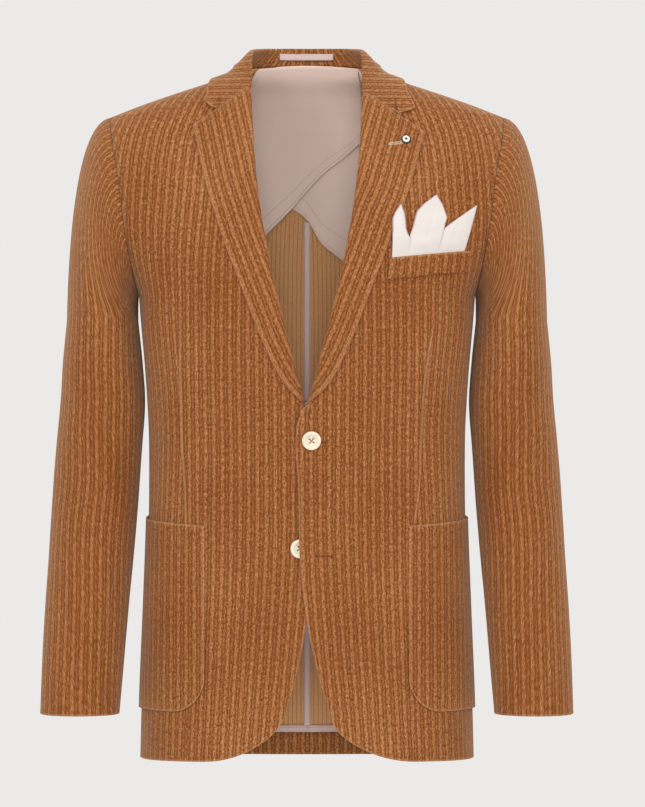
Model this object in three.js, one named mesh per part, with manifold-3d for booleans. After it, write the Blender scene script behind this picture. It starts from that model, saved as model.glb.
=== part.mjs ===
// A two-button corduroy jacket, filled out as if worn on a figure that isn't there.
// Sizes are millimetres. The jacket faces -Y, +Z is up and the wearer's left is +X.
// The origin is the middle of the neck opening, level with the back neck seam.
// Each panel is a wall of cloth: a grid of points on the outside of the garment, and
// the same grid moved in by the thickness. "Own" x is measured outwards on each side.

import * as THREE from 'three';
import { mergeVertices } from 'three/addons/utils/BufferGeometryUtils.js';
import Module from 'manifold-3d';

const CLOTH = 2.0;
const LINING = 1.0;
const GAP = 0.3;
const HALF_SEAM = GAP / 2;

const NECK_SIDE = { x: 78, z: -12.6 };
const SHOULDER_POINT = { x: 216, z: -61.7 };
const ARMPIT_Z = -258;
const ARMHOLE_DEPTH = { front: 78, back: 74 };
const FRONT_HEM_Z = -760;
const BACK_HEM_Z = -770;
const SIDE_HEM_Z = -763;

// Horizontal rings of the body: how far the front and back stand from the middle, and
// how square the ring is.
const RINGS = [
  { z: -775, front: 122, back: 119, power: 2.5 },
  { z: -700, front: 121, back: 114, power: 2.5 },
  { z: -600, front: 118, back: 104, power: 2.5 },
  { z: -500, front: 115, back: 90, power: 2.5 },
  { z: -415, front: 116, back: 89, power: 2.6 },
  { z: -330, front: 121, back: 103, power: 2.7 },
  { z: ARMPIT_Z, front: 122, back: 115, power: 2.7 },
  { z: -200, front: 117, back: 119, power: 2.5 },
  { z: -150, front: 108, back: 118, power: 2.4 },
  { z: -100, front: 94, back: 112, power: 2.35 },
  { z: SHOULDER_POINT.z, front: 76, back: 102, power: 2.3 },
  { z: -30, front: 56, back: 88, power: 2.2 },
  { z: NECK_SIDE.z, front: 34, back: 77, power: 2.2 },
  { z: 4, front: 24, back: 71, power: 2.2 },
];

// Half of the body's width down the shoulder seam, at the armhole seam and at the side.
const SHOULDER_LINE = [
  { z: SHOULDER_POINT.z, x: SHOULDER_POINT.x },
  { z: -48.5, x: 182.6 },
  { z: -35.3, x: 144.6 },
  { z: -22.4, x: 105.4 },
  { z: NECK_SIDE.z, x: NECK_SIDE.x },
];
const ARMHOLE_LINE = [
  { z: ARMPIT_Z, x: 184.5 },
  { z: -244, x: 187.5 },
  { z: -215, x: 192.5 },
  { z: -173, x: 199.5 },
  { z: -121, x: 206 },
  { z: -98, x: 211 },
  { z: SHOULDER_POINT.z, x: SHOULDER_POINT.x },
];
const SIDE_LINE = [
  { z: -775, x: 183.5 },
  { z: -700, x: 181.5 },
  { z: -600, x: 177 },
  { z: -500, x: 174 },
  { z: -416, x: 173.5 },
  { z: -372, x: 175.5 },
  { z: -330, x: 178.5 },
  { z: -285, x: 182.5 },
  { z: ARMPIT_Z, x: 184.5 },
];

// The roll line of the lapels, and the free edge of each front below it. The wearer's
// left front laps over the right one, whose edge is hidden down to the cutaway.
const ROLL_LINE = [
  { z: -400, x: -12 },
  { z: -388, x: -5.5 },
  { z: -358, x: 6 },
  { z: -320, x: 16 },
  { z: -280, x: 26 },
  { z: -237, x: 36 },
  { z: -200, x: 43.5 },
  { z: -170, x: 49 },
  { z: -130, x: 54 },
  { z: -86, x: 57.5 },
  { z: -34, x: 60 },
  { z: 0, x: 60 },
];
const FREE_EDGE = {
  left: [
    { z: -721, x: 29.4 },
    { z: -697, x: 21.8 },
    { z: -672, x: 14 },
    { z: -638.6, x: 6.2 },
    { z: -614, x: 1.5 },
    { z: -569, x: -4.6 },
    { z: -521, x: -7.6 },
    { z: -458, x: -8.8 },
    { z: -425, x: -11.4 },
    { z: -403, x: -10.5 },
    { z: -388, x: -6.5 },
  ],
  right: [
    { z: -716.6, x: 26.5 },
    { z: -697, x: 20 },
    { z: -670, x: 12 },
    { z: -638.7, x: 5.5 },
    { z: -612, x: 1.2 },
    { z: -590, x: -5 },
    { z: -560, x: -11 },
    { z: -480, x: -13.5 },
    { z: -415, x: -13 },
    { z: -388, x: -5 },
  ],
};
const CUTAWAY = {
  left: { z: -721, sweep: 62 },
  right: { z: -716.6, sweep: 58 },
};
const CUTAWAY_CURVE = { power: 2.2, round: 0.4 };
const FRONT_HEM_WIDTH = 150;

// The front's edge moves out a little where it runs up beside the collar stand, and goes
// over from the roll line to the free edge within a short length.
const NECK_EASE = { out: 3.4, fromZ: -26, over: 14 };
const BREAK_LENGTH = 14;

// How far the left front stands out over the right one, so that the right lapel's foot
// and the lower button fit between them. It fades out towards the side.
const LAP_OUT = [
  { z: -700, out: 0 },
  { z: -640, out: 1.4 },
  { z: -600, out: 3.2 },
  { z: -556, out: 5.6 },
  { z: -532, out: 6.6 },
  { z: -508, out: 5.6 },
  { z: -460, out: 3.4 },
  { z: -420, out: 3.6 },
  { z: -395, out: 6.0 },
  { z: -362, out: 6.4 },
  { z: -325, out: 0 },
];
// It is full up to the first x and gone from the second.
const LAP_REACH = { fullTo: 16, noneFrom: 62, noneFromAround: 93 };

// Cloth that stands out goes forwards or backwards, and only in this share sideways.
const SIDEWAYS_SHARE = 0.25;

// The largest soft folds of the body: middle, run, half width, depth out of the cloth
// (a trough is below zero) and lean. "around" is the way round from the front middle.
const BODY_FOLDS = [
  { side: 'both', around: 168, z: -330, run: 105, halfWidth: 17, out: -3.0, lean: -0.16 },
  { side: 'both', around: 205, z: -345, run: 90, halfWidth: 15, out: 2.2, lean: -0.1 },
  { side: 'left', around: 62, z: -455, run: 70, halfWidth: 20, out: -1.8, lean: 0.6 },
  { side: 'right', around: 70, z: -470, run: 60, halfWidth: 18, out: -1.6, lean: 0.5 },
  { side: 'left', around: 150, z: -462, run: 80, halfWidth: 22, out: 1.6, lean: 0.25 },
  { side: 'right', around: 140, z: -450, run: 90, halfWidth: 22, out: 1.8, lean: 0.2 },
  { side: 'both', around: 255, z: -470, run: 70, halfWidth: 20, out: -2.4, lean: 0.2 },
  { side: 'both', around: 330, z: -500, run: 130, halfWidth: 26, out: 2.2, lean: 0.05 },
];

// Sleeve tube from the armpit to the cuff: outermost and innermost x, the middle and
// half of the depth.
const SLEEVE_RINGS = [
  { z: -285, outer: 264, inner: 185.6, middle: 0, halfDepth: 67 },
  { z: -330, outer: 268.5, inner: 181, middle: 2, halfDepth: 65 },
  { z: -372, outer: 271, inner: 178.4, middle: 2, halfDepth: 62 },
  { z: -416, outer: 275, inner: 180.8, middle: -1, halfDepth: 60 },
  { z: -460, outer: 278.6, inner: 183.6, middle: -5, halfDepth: 58 },
  { z: -504, outer: 281, inner: 186.8, middle: -11, halfDepth: 56 },
  { z: -548, outer: 283.2, inner: 190.3, middle: -20, halfDepth: 54 },
  { z: -592, outer: 285.8, inner: 194.2, middle: -31, halfDepth: 51 },
  { z: -636, outer: 287.8, inner: 197.6, middle: -43, halfDepth: 48.5 },
  { z: -680, outer: 289, inner: 201, middle: -54, halfDepth: 46.5 },
  { z: -712, outer: 289.6, inner: 203.6, middle: -62, halfDepth: 45 },
];
const CUFF_Z = SLEEVE_RINGS[SLEEVE_RINGS.length - 1].z;
const SLEEVE_RADIUS = 60;
const ARMHOLE_SEAM_OUT = GAP + 0.25;

// The sleeve head leaves the armhole in one way and meets the tube in another. Each reach
// is a share of the straight distance, at the shoulder point and at the armpit.
const SLEEVE_HEAD = {
  leaveTop: [1, 0, -0.17],
  leaveFoot: [0.12, 0, -1],
  leaveReach: { top: 0.5, foot: 0.95 },
  arrive: [0.02, 0, -1],
  arriveReach: { top: 1.1, foot: 0.9 },
};
const ARM_STEPS = 20;
const UNDER_SLEEVE_FROM = 7;
const UNDER_SLEEVE_TO = 14;
const SLEEVE_HEAD_ROWS = [0, 0.12, 0.27, 0.45, 0.64, 0.82, 1];
const SLEEVE_FOLDS = [
  { z: -440, angle: 70, run: 34, spread: 34, out: -3.2, lean: 0.55 },
  { z: -478, angle: 85, run: 26, spread: 40, out: -2.6, lean: -0.4 },
  { z: -410, angle: 130, run: 34, spread: 36, out: 2.0, lean: 0.5 },
  { z: -520, angle: 120, run: 40, spread: 34, out: 2.2, lean: 0.4 },
  { z: -600, angle: 60, run: 60, spread: 30, out: -1.6, lean: 0.2 },
  { z: -465, angle: 255, run: 40, spread: 40, out: -2.6, lean: -0.4 },
  { z: -330, angle: 320, run: 60, spread: 30, out: -1.8, lean: 0.1 },
];

// Lapel: outer edge from the tip to the break. Its roll is a half round about the
// front's inner edge.
const LAPEL_EDGE = [
  { z: -388, x: -5 },
  { z: -350, x: 26 },
  { z: -312, x: 45.5 },
  { z: -266, x: 63.5 },
  { z: -230, x: 77.5 },
  { z: -190, x: 92 },
  { z: -145, x: 106.5 },
  { z: -110, x: 116.5 },
  { z: -84, x: 124.5 },
  { z: -74, x: 126 },
];
const LAPEL = {
  left: { gorgeZ: -42, tipX: 127, tipZ: -83, fuller: 3, rollEndZ: -373, edgeEndX: 0.5, edgeEndZ: -388.5 },
  right: { gorgeZ: -35, tipX: 122.5, tipZ: -75.5, fuller: 0, rollEndZ: -374, edgeEndX: 3, edgeEndZ: -391 },
};
const FULLER = { fromZ: -190, over: 45 };
const ROLL_RADIUS = 4.3;
const LAPEL_ROWS = 13;
const LAPEL_ACROSS = [0, 0.2, 0.4, 0.58, 0.8, 1];
const LAPEL_TIP_SHARE = 0.2;
const LAPEL_FOOT_SHARE = 0.1;

// The lapel springs off the front beside its roll, and its edge stays a little loose.
const LAPEL_SPRING = 8.8;
const LAPEL_LOOSE = { top: 0.7, foot: 0.2 };
const LAPEL_EASE = { springDown: 4, looseDown: 2, looseAcross: 4 };

// Collar sections from the middle of the back to the gorge: the fold, the middle of
// the fall and its outer edge. The stand's foot follows the neck seam.
const COLLAR = [
  { step: 0, fold: [0, 76, 20.5], fall: [0, 87, -2], edge: [0, 95, -26] },
  { step: 0.22, fold: [30, 68, 20], fall: [37, 80, -3], edge: [47, 88, -26] },
  { step: 0.44, fold: [50, 46, 18], fall: [65, 56, -4], edge: [84, 62, -25] },
  { step: 0.62, fold: [59, 12, 14], fall: [80, 12, -5], edge: [100, 10, -20.5] },
  { step: 0.78, fold: [60.5, -14, 6.5], fall: [85, -17, -15], edge: [104, -18, -28.5] },
  { step: 0.9, fold: [60, -38, -12.5], fall: [88, -42, -35], edge: [108, -44, -37] },
  { step: 1, fold: [59.5, -60, -31], fall: [93.5, -70, -55.2], edge: [111.5, -66, -44.5] },
];
const NOTCH_ACROSS = 0.58;
const GORGE_GAP = 1.15;
const GORGE_LEAD = { from: 0.84, step: 0.9, reach: 70 };
const COLLAR_FRONT_DROP = { left: -7, right: 0 };
const COLLAR_TIP = { left: { out: 6, up: -2.5 }, right: { out: 0, up: 0 } };
// The fold's radius turns into that of the lapel's roll. Its three points lie in and out
// of the fold line by these shares of the radius.
const COLLAR_FOLD = { radius: 4, inside: -0.1, ridge: 0.6, outside: 1.9, rollFrom: 0.7 };
const COLLAR_LIFT = 1.9;
const COLLAR_STEPS = [0, 0.11, 0.22, 0.33, 0.44, 0.53, 0.62, 0.7, 0.76, 0.81, 0.86, 0.9, 0.94, 0.97, 1];

// Across a section: 0 is the stand's foot. The gorge seam ends at the middle of the fall.
const COLLAR_ACROSS = [0, 0.5, 1, 2, 3, 3.33, 3.67, 4, 4.5, 5];
const COLLAR_RIDGE = 2;
const GORGE_TO = 4;
const COLLAR_EDGE = 5;

const POCKET = {
  frontX: 110,
  width: 165,
  topFront: -508,
  topSide: -498,
  bottom: -708,
  corner: 38,
  roundness: 0.96,
  columns: 11,
  rows: 8,
};
const POCKET_LIFT = 0.9;
const POCKET_FULLNESS = 1.0;
const WELT_LIFT = 0.8;
const WELT = { x0: 90, x1: 176, z0: -219.5, z1: -210.5, height: 22, lean: 2.6, columns: 7, rows: 2 };

// The folded square in the chest pocket: foot and top of each column.
const SQUARE = [
  { footX: 93.5, topX: 98.5, topZ: -179, out: 0 },
  { footX: 99, topX: 106.5, topZ: -161, out: 1.6 },
  { footX: 105, topX: 108, topZ: -181, out: 0.6 },
  { footX: 110, topX: 110.5, topZ: -195, out: 0 },
  { footX: 118, topX: 119, topZ: -168, out: 1.4 },
  { footX: 131, topX: 139, topZ: -149.6, out: 2.4 },
  { footX: 143, topX: 150, topZ: -173, out: 1.2 },
  { footX: 147, topX: 150.5, topZ: -187, out: 0 },
  { footX: 157, topX: 182.5, topZ: -161, out: 1.8 },
  { footX: 169, topX: 173, topZ: -205, out: 0.6 },
];
const SQUARE_CLOTH = 1.2;
const SQUARE_ROWS = 4;
const SQUARE_ABOVE_WELT = GAP + 0.2;

// Profiles are points of radius and height above the seat.
const BUTTON = {
  profile: [
    { radius: 0, height: 0 },
    { radius: 8.65, height: 0 },
    { radius: 9.95, height: 0.9 },
    { radius: 10.25, height: 1.7 },
    { radius: 9.85, height: 2.7 },
    { radius: 8.75, height: 3.2 },
    { radius: 7.5, height: 3.1 },
    { radius: 6.6, height: 2.4 },
    { radius: 0, height: 2.4 },
  ],
  facets: 20,
  holeRadius: 0.9,
  holeFrom: 2.1,
  holeFacets: 8,
  drill: 9.6,
  roughness: 0.35,
};
const BUTTONS = [
  { name: 'button_top', side: 'left', x: 5.2, z: -415.4, lift: 1.3 },
  { name: 'button_lower', side: 'right', x: 7.2, z: -532, lift: 0.35 },
];
const PIN = {
  x: 107.2,
  z: -90.3,
  profile: [
    { radius: 0, height: 0 },
    { radius: 5.1, height: 0 },
    { radius: 5.4, height: 0.5 },
    { radius: 5.2, height: 1.6 },
    { radius: 4.3, height: 1.6 },
    { radius: 4.0, height: 1.2 },
    { radius: 1.5, height: 1.2 },
    { radius: 1.3, height: 1.6 },
    { radius: 0, height: 1.7 },
  ],
  facets: 18,
  roughness: 0.4,
};
const CLOTH_ROUGHNESS = 0.9;

// Half linings inside the back. Each lower edge falls from past the middle to the side.
const LINING_EDGE = {
  right: [
    { x: -62, z: -80 },
    { x: -40, z: -100 },
    { x: -20, z: -115.7 },
    { x: 0, z: -136 },
    { x: 17, z: -156 },
    { x: 47, z: -186.5 },
    { x: 90, z: -226 },
    { x: 150, z: -258 },
  ],
  left: [
    { x: -36, z: -135 },
    { x: -17, z: -156 },
    { x: 0, z: -170 },
    { x: 15, z: -195 },
    { x: 29, z: -207 },
    { x: 41, z: -216 },
    { x: 90, z: -240 },
    { x: 150, z: -262 },
  ],
};
const LINING_HANG = { under: 2.0, over: 4.0 };
const LINING_GRID = { rows: 7, columns: 9 };

// The linings' top: under the neck seam near the middle, and then down the shoulder.
const LINING_TOP = {
  neckTo: 66,
  underNeck: 2.5,
  shoulderX: 40,
  shoulderZ: -6,
  slope: 0.356,
  atNeck: 8,
  underShoulder: 6,
};
const TAPE = { width: 6.5, topZ: -172, between: 4, lowRow: -680 };
const HEM_TAPE = { top: -737.5, bottom: -745.5 };
const TURN_UP_ABOVE_HEM = 0.4;
const LOOP = {
  x0: -30.4,
  x1: 28.7,
  z0: 6.9,
  z1: 13.6,
  thickness: 1.2,
  bow: 2.0,
  offStand: GAP + 0.4,
  columns: 8,
};

const COLOURS = {
  corduroy: 0xa5693c,
  lining: 0xc4b0a6,
  linen: 0xf3f0ea,
  button: 0xefe6d3,
  pin: 0xe9e3d6,
};

function clamp(value, low, high) {
  return Math.min(high, Math.max(low, value));
}

function mix(a, b, share) {
  return a + (b - a) * share;
}

function evenly(from, to, steps) {
  return Array.from({ length: steps + 1 }, (_, i) => mix(from, to, i / steps));
}

function smoothStep(share) {
  const t = clamp(share, 0, 1);
  return t * t * (3 - 2 * t);
}

// Reads a column of a table that is sorted by its key, with a smooth curve between rows.
function readCurve(table, key, column, at) {
  const last = table.length - 1;
  const rising = table[last][key] > table[0][key];
  const place = (row) => (rising ? row[key] : -row[key]);
  const target = clamp(rising ? at : -at, place(table[0]), place(table[last]));
  let k = 0;
  while (k < last - 1 && target > place(table[k + 1])) k += 1;
  const slope = (i) => {
    const from = Math.max(0, i - 1);
    const to = Math.min(last, i + 1);
    return (table[to][column] - table[from][column]) / (place(table[to]) - place(table[from]));
  };
  const run = place(table[k + 1]) - place(table[k]);
  const t = (target - place(table[k])) / run;
  const t2 = t * t;
  const t3 = t2 * t;
  return (
    (2 * t3 - 3 * t2 + 1) * table[k][column] +
    (t3 - 2 * t2 + t) * run * slope(k) +
    (3 * t2 - 2 * t3) * table[k + 1][column] +
    (t3 - t2) * run * slope(k + 1)
  );
}

function add(a, b, scale = 1) {
  return [a[0] + b[0] * scale, a[1] + b[1] * scale, a[2] + b[2] * scale];
}

function lerpPoint(a, b, share) {
  return [mix(a[0], b[0], share), mix(a[1], b[1], share), mix(a[2], b[2], share)];
}

function crossOf(a, b) {
  return [a[1] * b[2] - a[2] * b[1], a[2] * b[0] - a[0] * b[2], a[0] * b[1] - a[1] * b[0]];
}

function unit(a) {
  const length = Math.hypot(a[0], a[1], a[2]) || 1;
  return [a[0] / length, a[1] / length, a[2] / length];
}

// Half depth of the armhole at a height: it is an egg that meets the shoulder point and
// the armpit.
function armholeDepth(z, face) {
  const middle = (SHOULDER_POINT.z + ARMPIT_Z) / 2;
  const half = (SHOULDER_POINT.z - ARMPIT_Z) / 2;
  const share = clamp((z - middle) / half, -1, 1);
  return ARMHOLE_DEPTH[face] * Math.sqrt(1 - share * share);
}

// One quarter of the body's ring at a height, from the middle (length 0) to its seam.
const QUARTER_STEPS = 72;
const quarterCache = new Map();
function quarter(z, face) {
  const key = `${face}${z.toFixed(4)}`;
  if (quarterCache.has(key)) return quarterCache.get(key);
  const depth = readCurve(RINGS, 'z', face, z);
  const power = readCurve(RINGS, 'z', 'power', z);
  let half = NECK_SIDE.x;
  let seamX = half;
  if (z <= NECK_SIDE.z && z > SHOULDER_POINT.z) {
    half = readCurve(SHOULDER_LINE, 'z', 'x', z);
    seamX = half;
  } else if (z <= SHOULDER_POINT.z && z > ARMPIT_Z) {
    seamX = readCurve(ARMHOLE_LINE, 'z', 'x', z);
    const share = (armholeDepth(z, face) / depth) ** power;
    half = seamX / (1 - share) ** (1 / power);
  } else if (z <= ARMPIT_Z) {
    half = readCurve(SIDE_LINE, 'z', 'x', z);
    seamX = half;
  }
  const facing = face === 'front' ? -1 : 1;
  const endAngle = Math.asin(clamp((seamX / half) ** (power / 2), 0, 1));
  const points = [];
  const lengths = [];
  for (let i = 0; i <= QUARTER_STEPS; i += 1) {
    const angle = (endAngle * i) / QUARTER_STEPS;
    const x = half * Math.sin(angle) ** (2 / power);
    const y = facing * depth * Math.max(0, Math.cos(angle)) ** (2 / power);
    points.push([x, y]);
    lengths.push(i ? lengths[i - 1] + Math.hypot(x - points[i - 1][0], y - points[i - 1][1]) : 0);
  }
  const made = { points, lengths, length: lengths[QUARTER_STEPS] };
  quarterCache.set(key, made);
  return made;
}

function pointAlong(path, along) {
  const target = Math.min(Math.abs(along), path.length);
  let k = 1;
  while (k < path.lengths.length - 1 && path.lengths[k] < target) k += 1;
  const share = (target - path.lengths[k - 1]) / (path.lengths[k] - path.lengths[k - 1]);
  const x = mix(path.points[k - 1][0], path.points[k][0], share);
  const y = mix(path.points[k - 1][1], path.points[k][1], share);
  return [along < 0 ? -x : x, y];
}

function lengthAtX(path, x) {
  const target = Math.abs(x);
  let k = 1;
  while (k < path.points.length - 1 && path.points[k][0] < target) k += 1;
  const before = path.points[k - 1];
  const share = clamp((target - before[0]) / (path.points[k][0] - before[0]), 0, 1);
  const length = mix(path.lengths[k - 1], path.lengths[k], share);
  return x < 0 ? -length : length;
}

// How far the cloth stands out of the plain ring: folds, and the lap of the left front.
function standsOut(side, x, z, around) {
  let out = 0;
  for (const fold of BODY_FOLDS) {
    if (fold.side !== 'both' && fold.side !== side) continue;
    const down = (z - fold.z) / fold.run;
    const across = (around - fold.around - fold.lean * (z - fold.z)) / fold.halfWidth;
    out += fold.out * Math.exp(-down * down - across * across);
  }
  if (side === 'left' && around < LAP_REACH.noneFromAround) {
    const past = (x - LAP_REACH.fullTo) / (LAP_REACH.noneFrom - LAP_REACH.fullTo);
    out += readCurve(LAP_OUT, 'z', 'out', z) * (1 - smoothStep(past));
  }
  return out;
}

// A point on the outside of the body, found by its way round from the front middle.
function bodyPoint(side, z, around) {
  const front = quarter(z, 'front');
  let flat;
  if (around <= front.length) {
    flat = pointAlong(front, around);
  } else {
    const back = quarter(z, 'back');
    flat = pointAlong(back, back.length - (around - front.length));
  }
  const reach = Math.hypot(flat[0], flat[1]);
  const out = standsOut(side, flat[0], z, around);
  const sideways = out * SIDEWAYS_SHARE;
  return [flat[0] * (1 + sideways / reach), flat[1] * (1 + out / reach), z];
}

function frontAt(side, x, z) {
  return bodyPoint(side, z, lengthAtX(quarter(z, 'front'), x));
}

// The back is found by its way from the back middle.
function backPoint(side, z, fromMiddle) {
  const front = quarter(z, 'front');
  const back = quarter(z, 'back');
  if (fromMiddle < 0) {
    const mirrored = bodyPoint(side, z, front.length + back.length + fromMiddle);
    return [-mirrored[0], mirrored[1], z];
  }
  return bodyPoint(side, z, front.length + back.length - fromMiddle);
}

// The unit normal of a surface that takes two numbers, by small steps both ways.
function normalOf(surface, a, b, stepA, stepB) {
  const alongA = add(surface(a + stepA, b), surface(a - stepA, b), -1);
  const alongB = add(surface(a, b + stepB), surface(a, b - stepB), -1);
  return unit(crossOf(alongA, alongB));
}

function facing(normal, towards) {
  const same = normal[0] * towards[0] + normal[1] * towards[1] + normal[2] * towards[2];
  return same < 0 ? [-normal[0], -normal[1], -normal[2]] : normal;
}

const NORMAL_SPAN = 0.6;
const NORMAL_HEIGHTS = { low: -774, high: -3 };
const UPWARD_HINT = 20;
function bodyNormal(side, z, around) {
  const surface = (height, length) => bodyPoint(side, height, length);
  const height = clamp(z, NORMAL_HEIGHTS.low, NORMAL_HEIGHTS.high);
  const here = bodyPoint(side, height, around);
  const normal = normalOf(surface, height, around, NORMAL_SPAN, NORMAL_SPAN);
  return facing(normal, [here[0], here[1], UPWARD_HINT]);
}

function frontNormal(side, x, z) {
  return bodyNormal(side, z, lengthAtX(quarter(z, 'front'), x));
}

// A closed wall from a grid of outer points and the same grid of inner points.
function wall(outer, inner) {
  const rows = outer.length;
  const columns = outer[0].length;
  const sheet = rows * columns;
  const positions = [...outer.flat(), ...inner.flat()].flat();
  const faces = [];
  const quad = (a, b, c, d) => faces.push(a, b, c, a, c, d);
  const at = (row, column) => row * columns + column;
  for (let r = 0; r < rows - 1; r += 1) {
    for (let c = 0; c < columns - 1; c += 1) {
      quad(at(r, c), at(r + 1, c), at(r + 1, c + 1), at(r, c + 1));
      quad(sheet + at(r, c), sheet + at(r, c + 1), sheet + at(r + 1, c + 1), sheet + at(r + 1, c));
    }
  }
  for (let r = 0; r < rows - 1; r += 1) {
    const far = columns - 1;
    quad(at(r, 0), sheet + at(r, 0), sheet + at(r + 1, 0), at(r + 1, 0));
    quad(at(r, far), at(r + 1, far), sheet + at(r + 1, far), sheet + at(r, far));
  }
  for (let c = 0; c < columns - 1; c += 1) {
    const end = rows - 1;
    quad(at(0, c), at(0, c + 1), sheet + at(0, c + 1), sheet + at(0, c));
    quad(at(end, c), sheet + at(end, c), sheet + at(end, c + 1), at(end, c + 1));
  }
  return closedGeometry(positions, faces);
}

// Turns the faces round if the body is inside out, so that its volume is positive.
function closedGeometry(positions, faces) {
  let volume = 0;
  const point = (i) => positions.slice(i * 3, i * 3 + 3);
  for (let i = 0; i < faces.length; i += 3) {
    const a = point(faces[i]);
    const c = crossOf(point(faces[i + 1]), point(faces[i + 2]));
    volume += a[0] * c[0] + a[1] * c[1] + a[2] * c[2];
  }
  const turned = [];
  for (let i = 0; i < faces.length; i += 3) {
    if (volume > 0) turned.push(faces[i], faces[i + 1], faces[i + 2]);
    else turned.push(faces[i], faces[i + 2], faces[i + 1]);
  }
  const geometry = new THREE.BufferGeometry();
  geometry.setAttribute('position', new THREE.Float32BufferAttribute(positions, 3));
  geometry.setIndex(turned);
  return geometry;
}

// A wall on a surface, from lists of its two numbers. "lift" moves the outer points out.
function sheetWall(rowsOfPoints, thickness, lift = () => 0) {
  const outer = [];
  const inner = [];
  rowsOfPoints.forEach((row, r) => {
    outer.push(row.map((p, c) => add(p.point, p.normal, lift(r, c))));
    inner.push(row.map((p, c) => add(p.point, p.normal, lift(r, c) - thickness)));
  });
  return { outer, inner };
}

function mirrorX(grid, side) {
  if (side === 'left') return grid;
  return grid.map((row) => row.map((p) => [-p[0], p[1], p[2]]));
}

const jacket = new THREE.Group();

function place(name, geometry, colour, roughness = CLOTH_ROUGHNESS) {
  const material = new THREE.MeshStandardMaterial({ color: colour, roughness, metalness: 0 });
  const mesh = new THREE.Mesh(geometry, material);
  mesh.name = name;
  jacket.add(mesh);
  return mesh;
}

function placeWall(name, sheet, side, colour) {
  return place(name, wall(mirrorX(sheet.outer, side), mirrorX(sheet.inner, side)), colour);
}

// Heights shared by the fronts, the backs and the sleeves, so that seams meet.
function armholeHeights() {
  const middle = (SHOULDER_POINT.z + ARMPIT_Z) / 2;
  const half = (SHOULDER_POINT.z - ARMPIT_Z) / 2;
  const heights = [];
  for (let i = 0; i <= ARM_STEPS / 2; i += 1) {
    heights.push(middle + half * Math.cos((2 * Math.PI * i) / ARM_STEPS));
  }
  return heights;
}
const SHOULDER_ROWS = [NECK_SIDE.z, -24, -36, -48.5];
const BODY_ROWS = [-292, -330, -368, -404, -440, -480, -520, -560, -600, -636];
const PANEL_ROWS = [...SHOULDER_ROWS, ...armholeHeights(), ...BODY_ROWS];
const HEM_ROWS = 4;

// Height of the fronts' lower edge, by the share of the way from the cutaway's corner
// to the side seam: a quarter round mixed with a softer curve, and then nearly straight.
function frontHem(side, share) {
  const corner = CUTAWAY[side];
  const along = share * FRONT_HEM_WIDTH;
  const left = clamp(1 - along / corner.sweep, 0, 1);
  const low = mix(FRONT_HEM_Z, SIDE_HEM_Z, smoothStep(share));
  const quarterRound = 1 - Math.sqrt(1 - left * left);
  return low + (corner.z - low) * mix(left ** CUTAWAY_CURVE.power, quarterRound, CUTAWAY_CURVE.round);
}

function frontEdgeX(side, z) {
  const breakZ = LAPEL[side].rollEndZ;
  const eased = NECK_EASE.out * smoothStep((z - NECK_EASE.fromZ) / NECK_EASE.over);
  const rolled = readCurve(ROLL_LINE, 'z', 'x', z) + ROLL_RADIUS + eased;
  if (z >= breakZ) return rolled;
  const free = readCurve(FREE_EDGE[side], 'z', 'x', z);
  return mix(rolled, free, smoothStep((breakZ - z) / BREAK_LENGTH));
}

// Front: from its free edge or roll line to the side seam, armhole and shoulder seam.
const FRONT_COLUMNS = 10;
function frontPanel(side) {
  const rows = [];
  const lastBody = BODY_ROWS[BODY_ROWS.length - 1];
  const rowCount = PANEL_ROWS.length + HEM_ROWS;
  for (let r = 0; r < rowCount; r += 1) {
    const row = [];
    for (let c = 0; c <= FRONT_COLUMNS; c += 1) {
      const share = c / FRONT_COLUMNS;
      const below = clamp((r - PANEL_ROWS.length + 1) / HEM_ROWS, 0, 1);
      const innerZ = below > 0 ? mix(lastBody, CUTAWAY[side].z, below) : PANEL_ROWS[r];
      const z = below > 0 ? mix(lastBody, frontHem(side, share), below) : PANEL_ROWS[r];
      const path = quarter(z, 'front');
      const from = lengthAtX(path, frontEdgeX(side, innerZ));
      const around = mix(from, path.length - HALF_SEAM, share);
      row.push({ point: bodyPoint(side, z, around), normal: bodyNormal(side, z, around) });
    }
    rows.push(row);
  }
  return sheetWall(rows, CLOTH);
}

// Back: from the centre seam to the side seam, armhole and shoulder seam. The top row
// bends along the neck seam.
const BACK_COLUMNS = 10;
function neckSeamZ(share) {
  return NECK_SIDE.z * share * share;
}

function backPanel(side) {
  const heights = [null, ...PANEL_ROWS.slice(1)];
  const lastBody = BODY_ROWS[BODY_ROWS.length - 1];
  const rows = [];
  const rowCount = heights.length + HEM_ROWS - 1;
  for (let r = 0; r < rowCount; r += 1) {
    const row = [];
    for (let c = 0; c <= BACK_COLUMNS; c += 1) {
      const share = c / BACK_COLUMNS;
      const below = clamp((r - heights.length + 1) / (HEM_ROWS - 1), 0, 1);
      let z = r === 0 ? neckSeamZ(share) : heights[Math.min(r, heights.length - 1)];
      if (below > 0) z = mix(lastBody, mix(BACK_HEM_Z, SIDE_HEM_Z, share * share), below);
      const path = quarter(z, 'back');
      const along = mix(HALF_SEAM, path.length - HALF_SEAM, share);
      const around = quarter(z, 'front').length + path.length - along;
      row.push({ point: backPoint(side, z, along), normal: bodyNormal(side, z, around) });
    }
    rows.push(row);
  }
  return sheetWall(rows, CLOTH);
}

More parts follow.
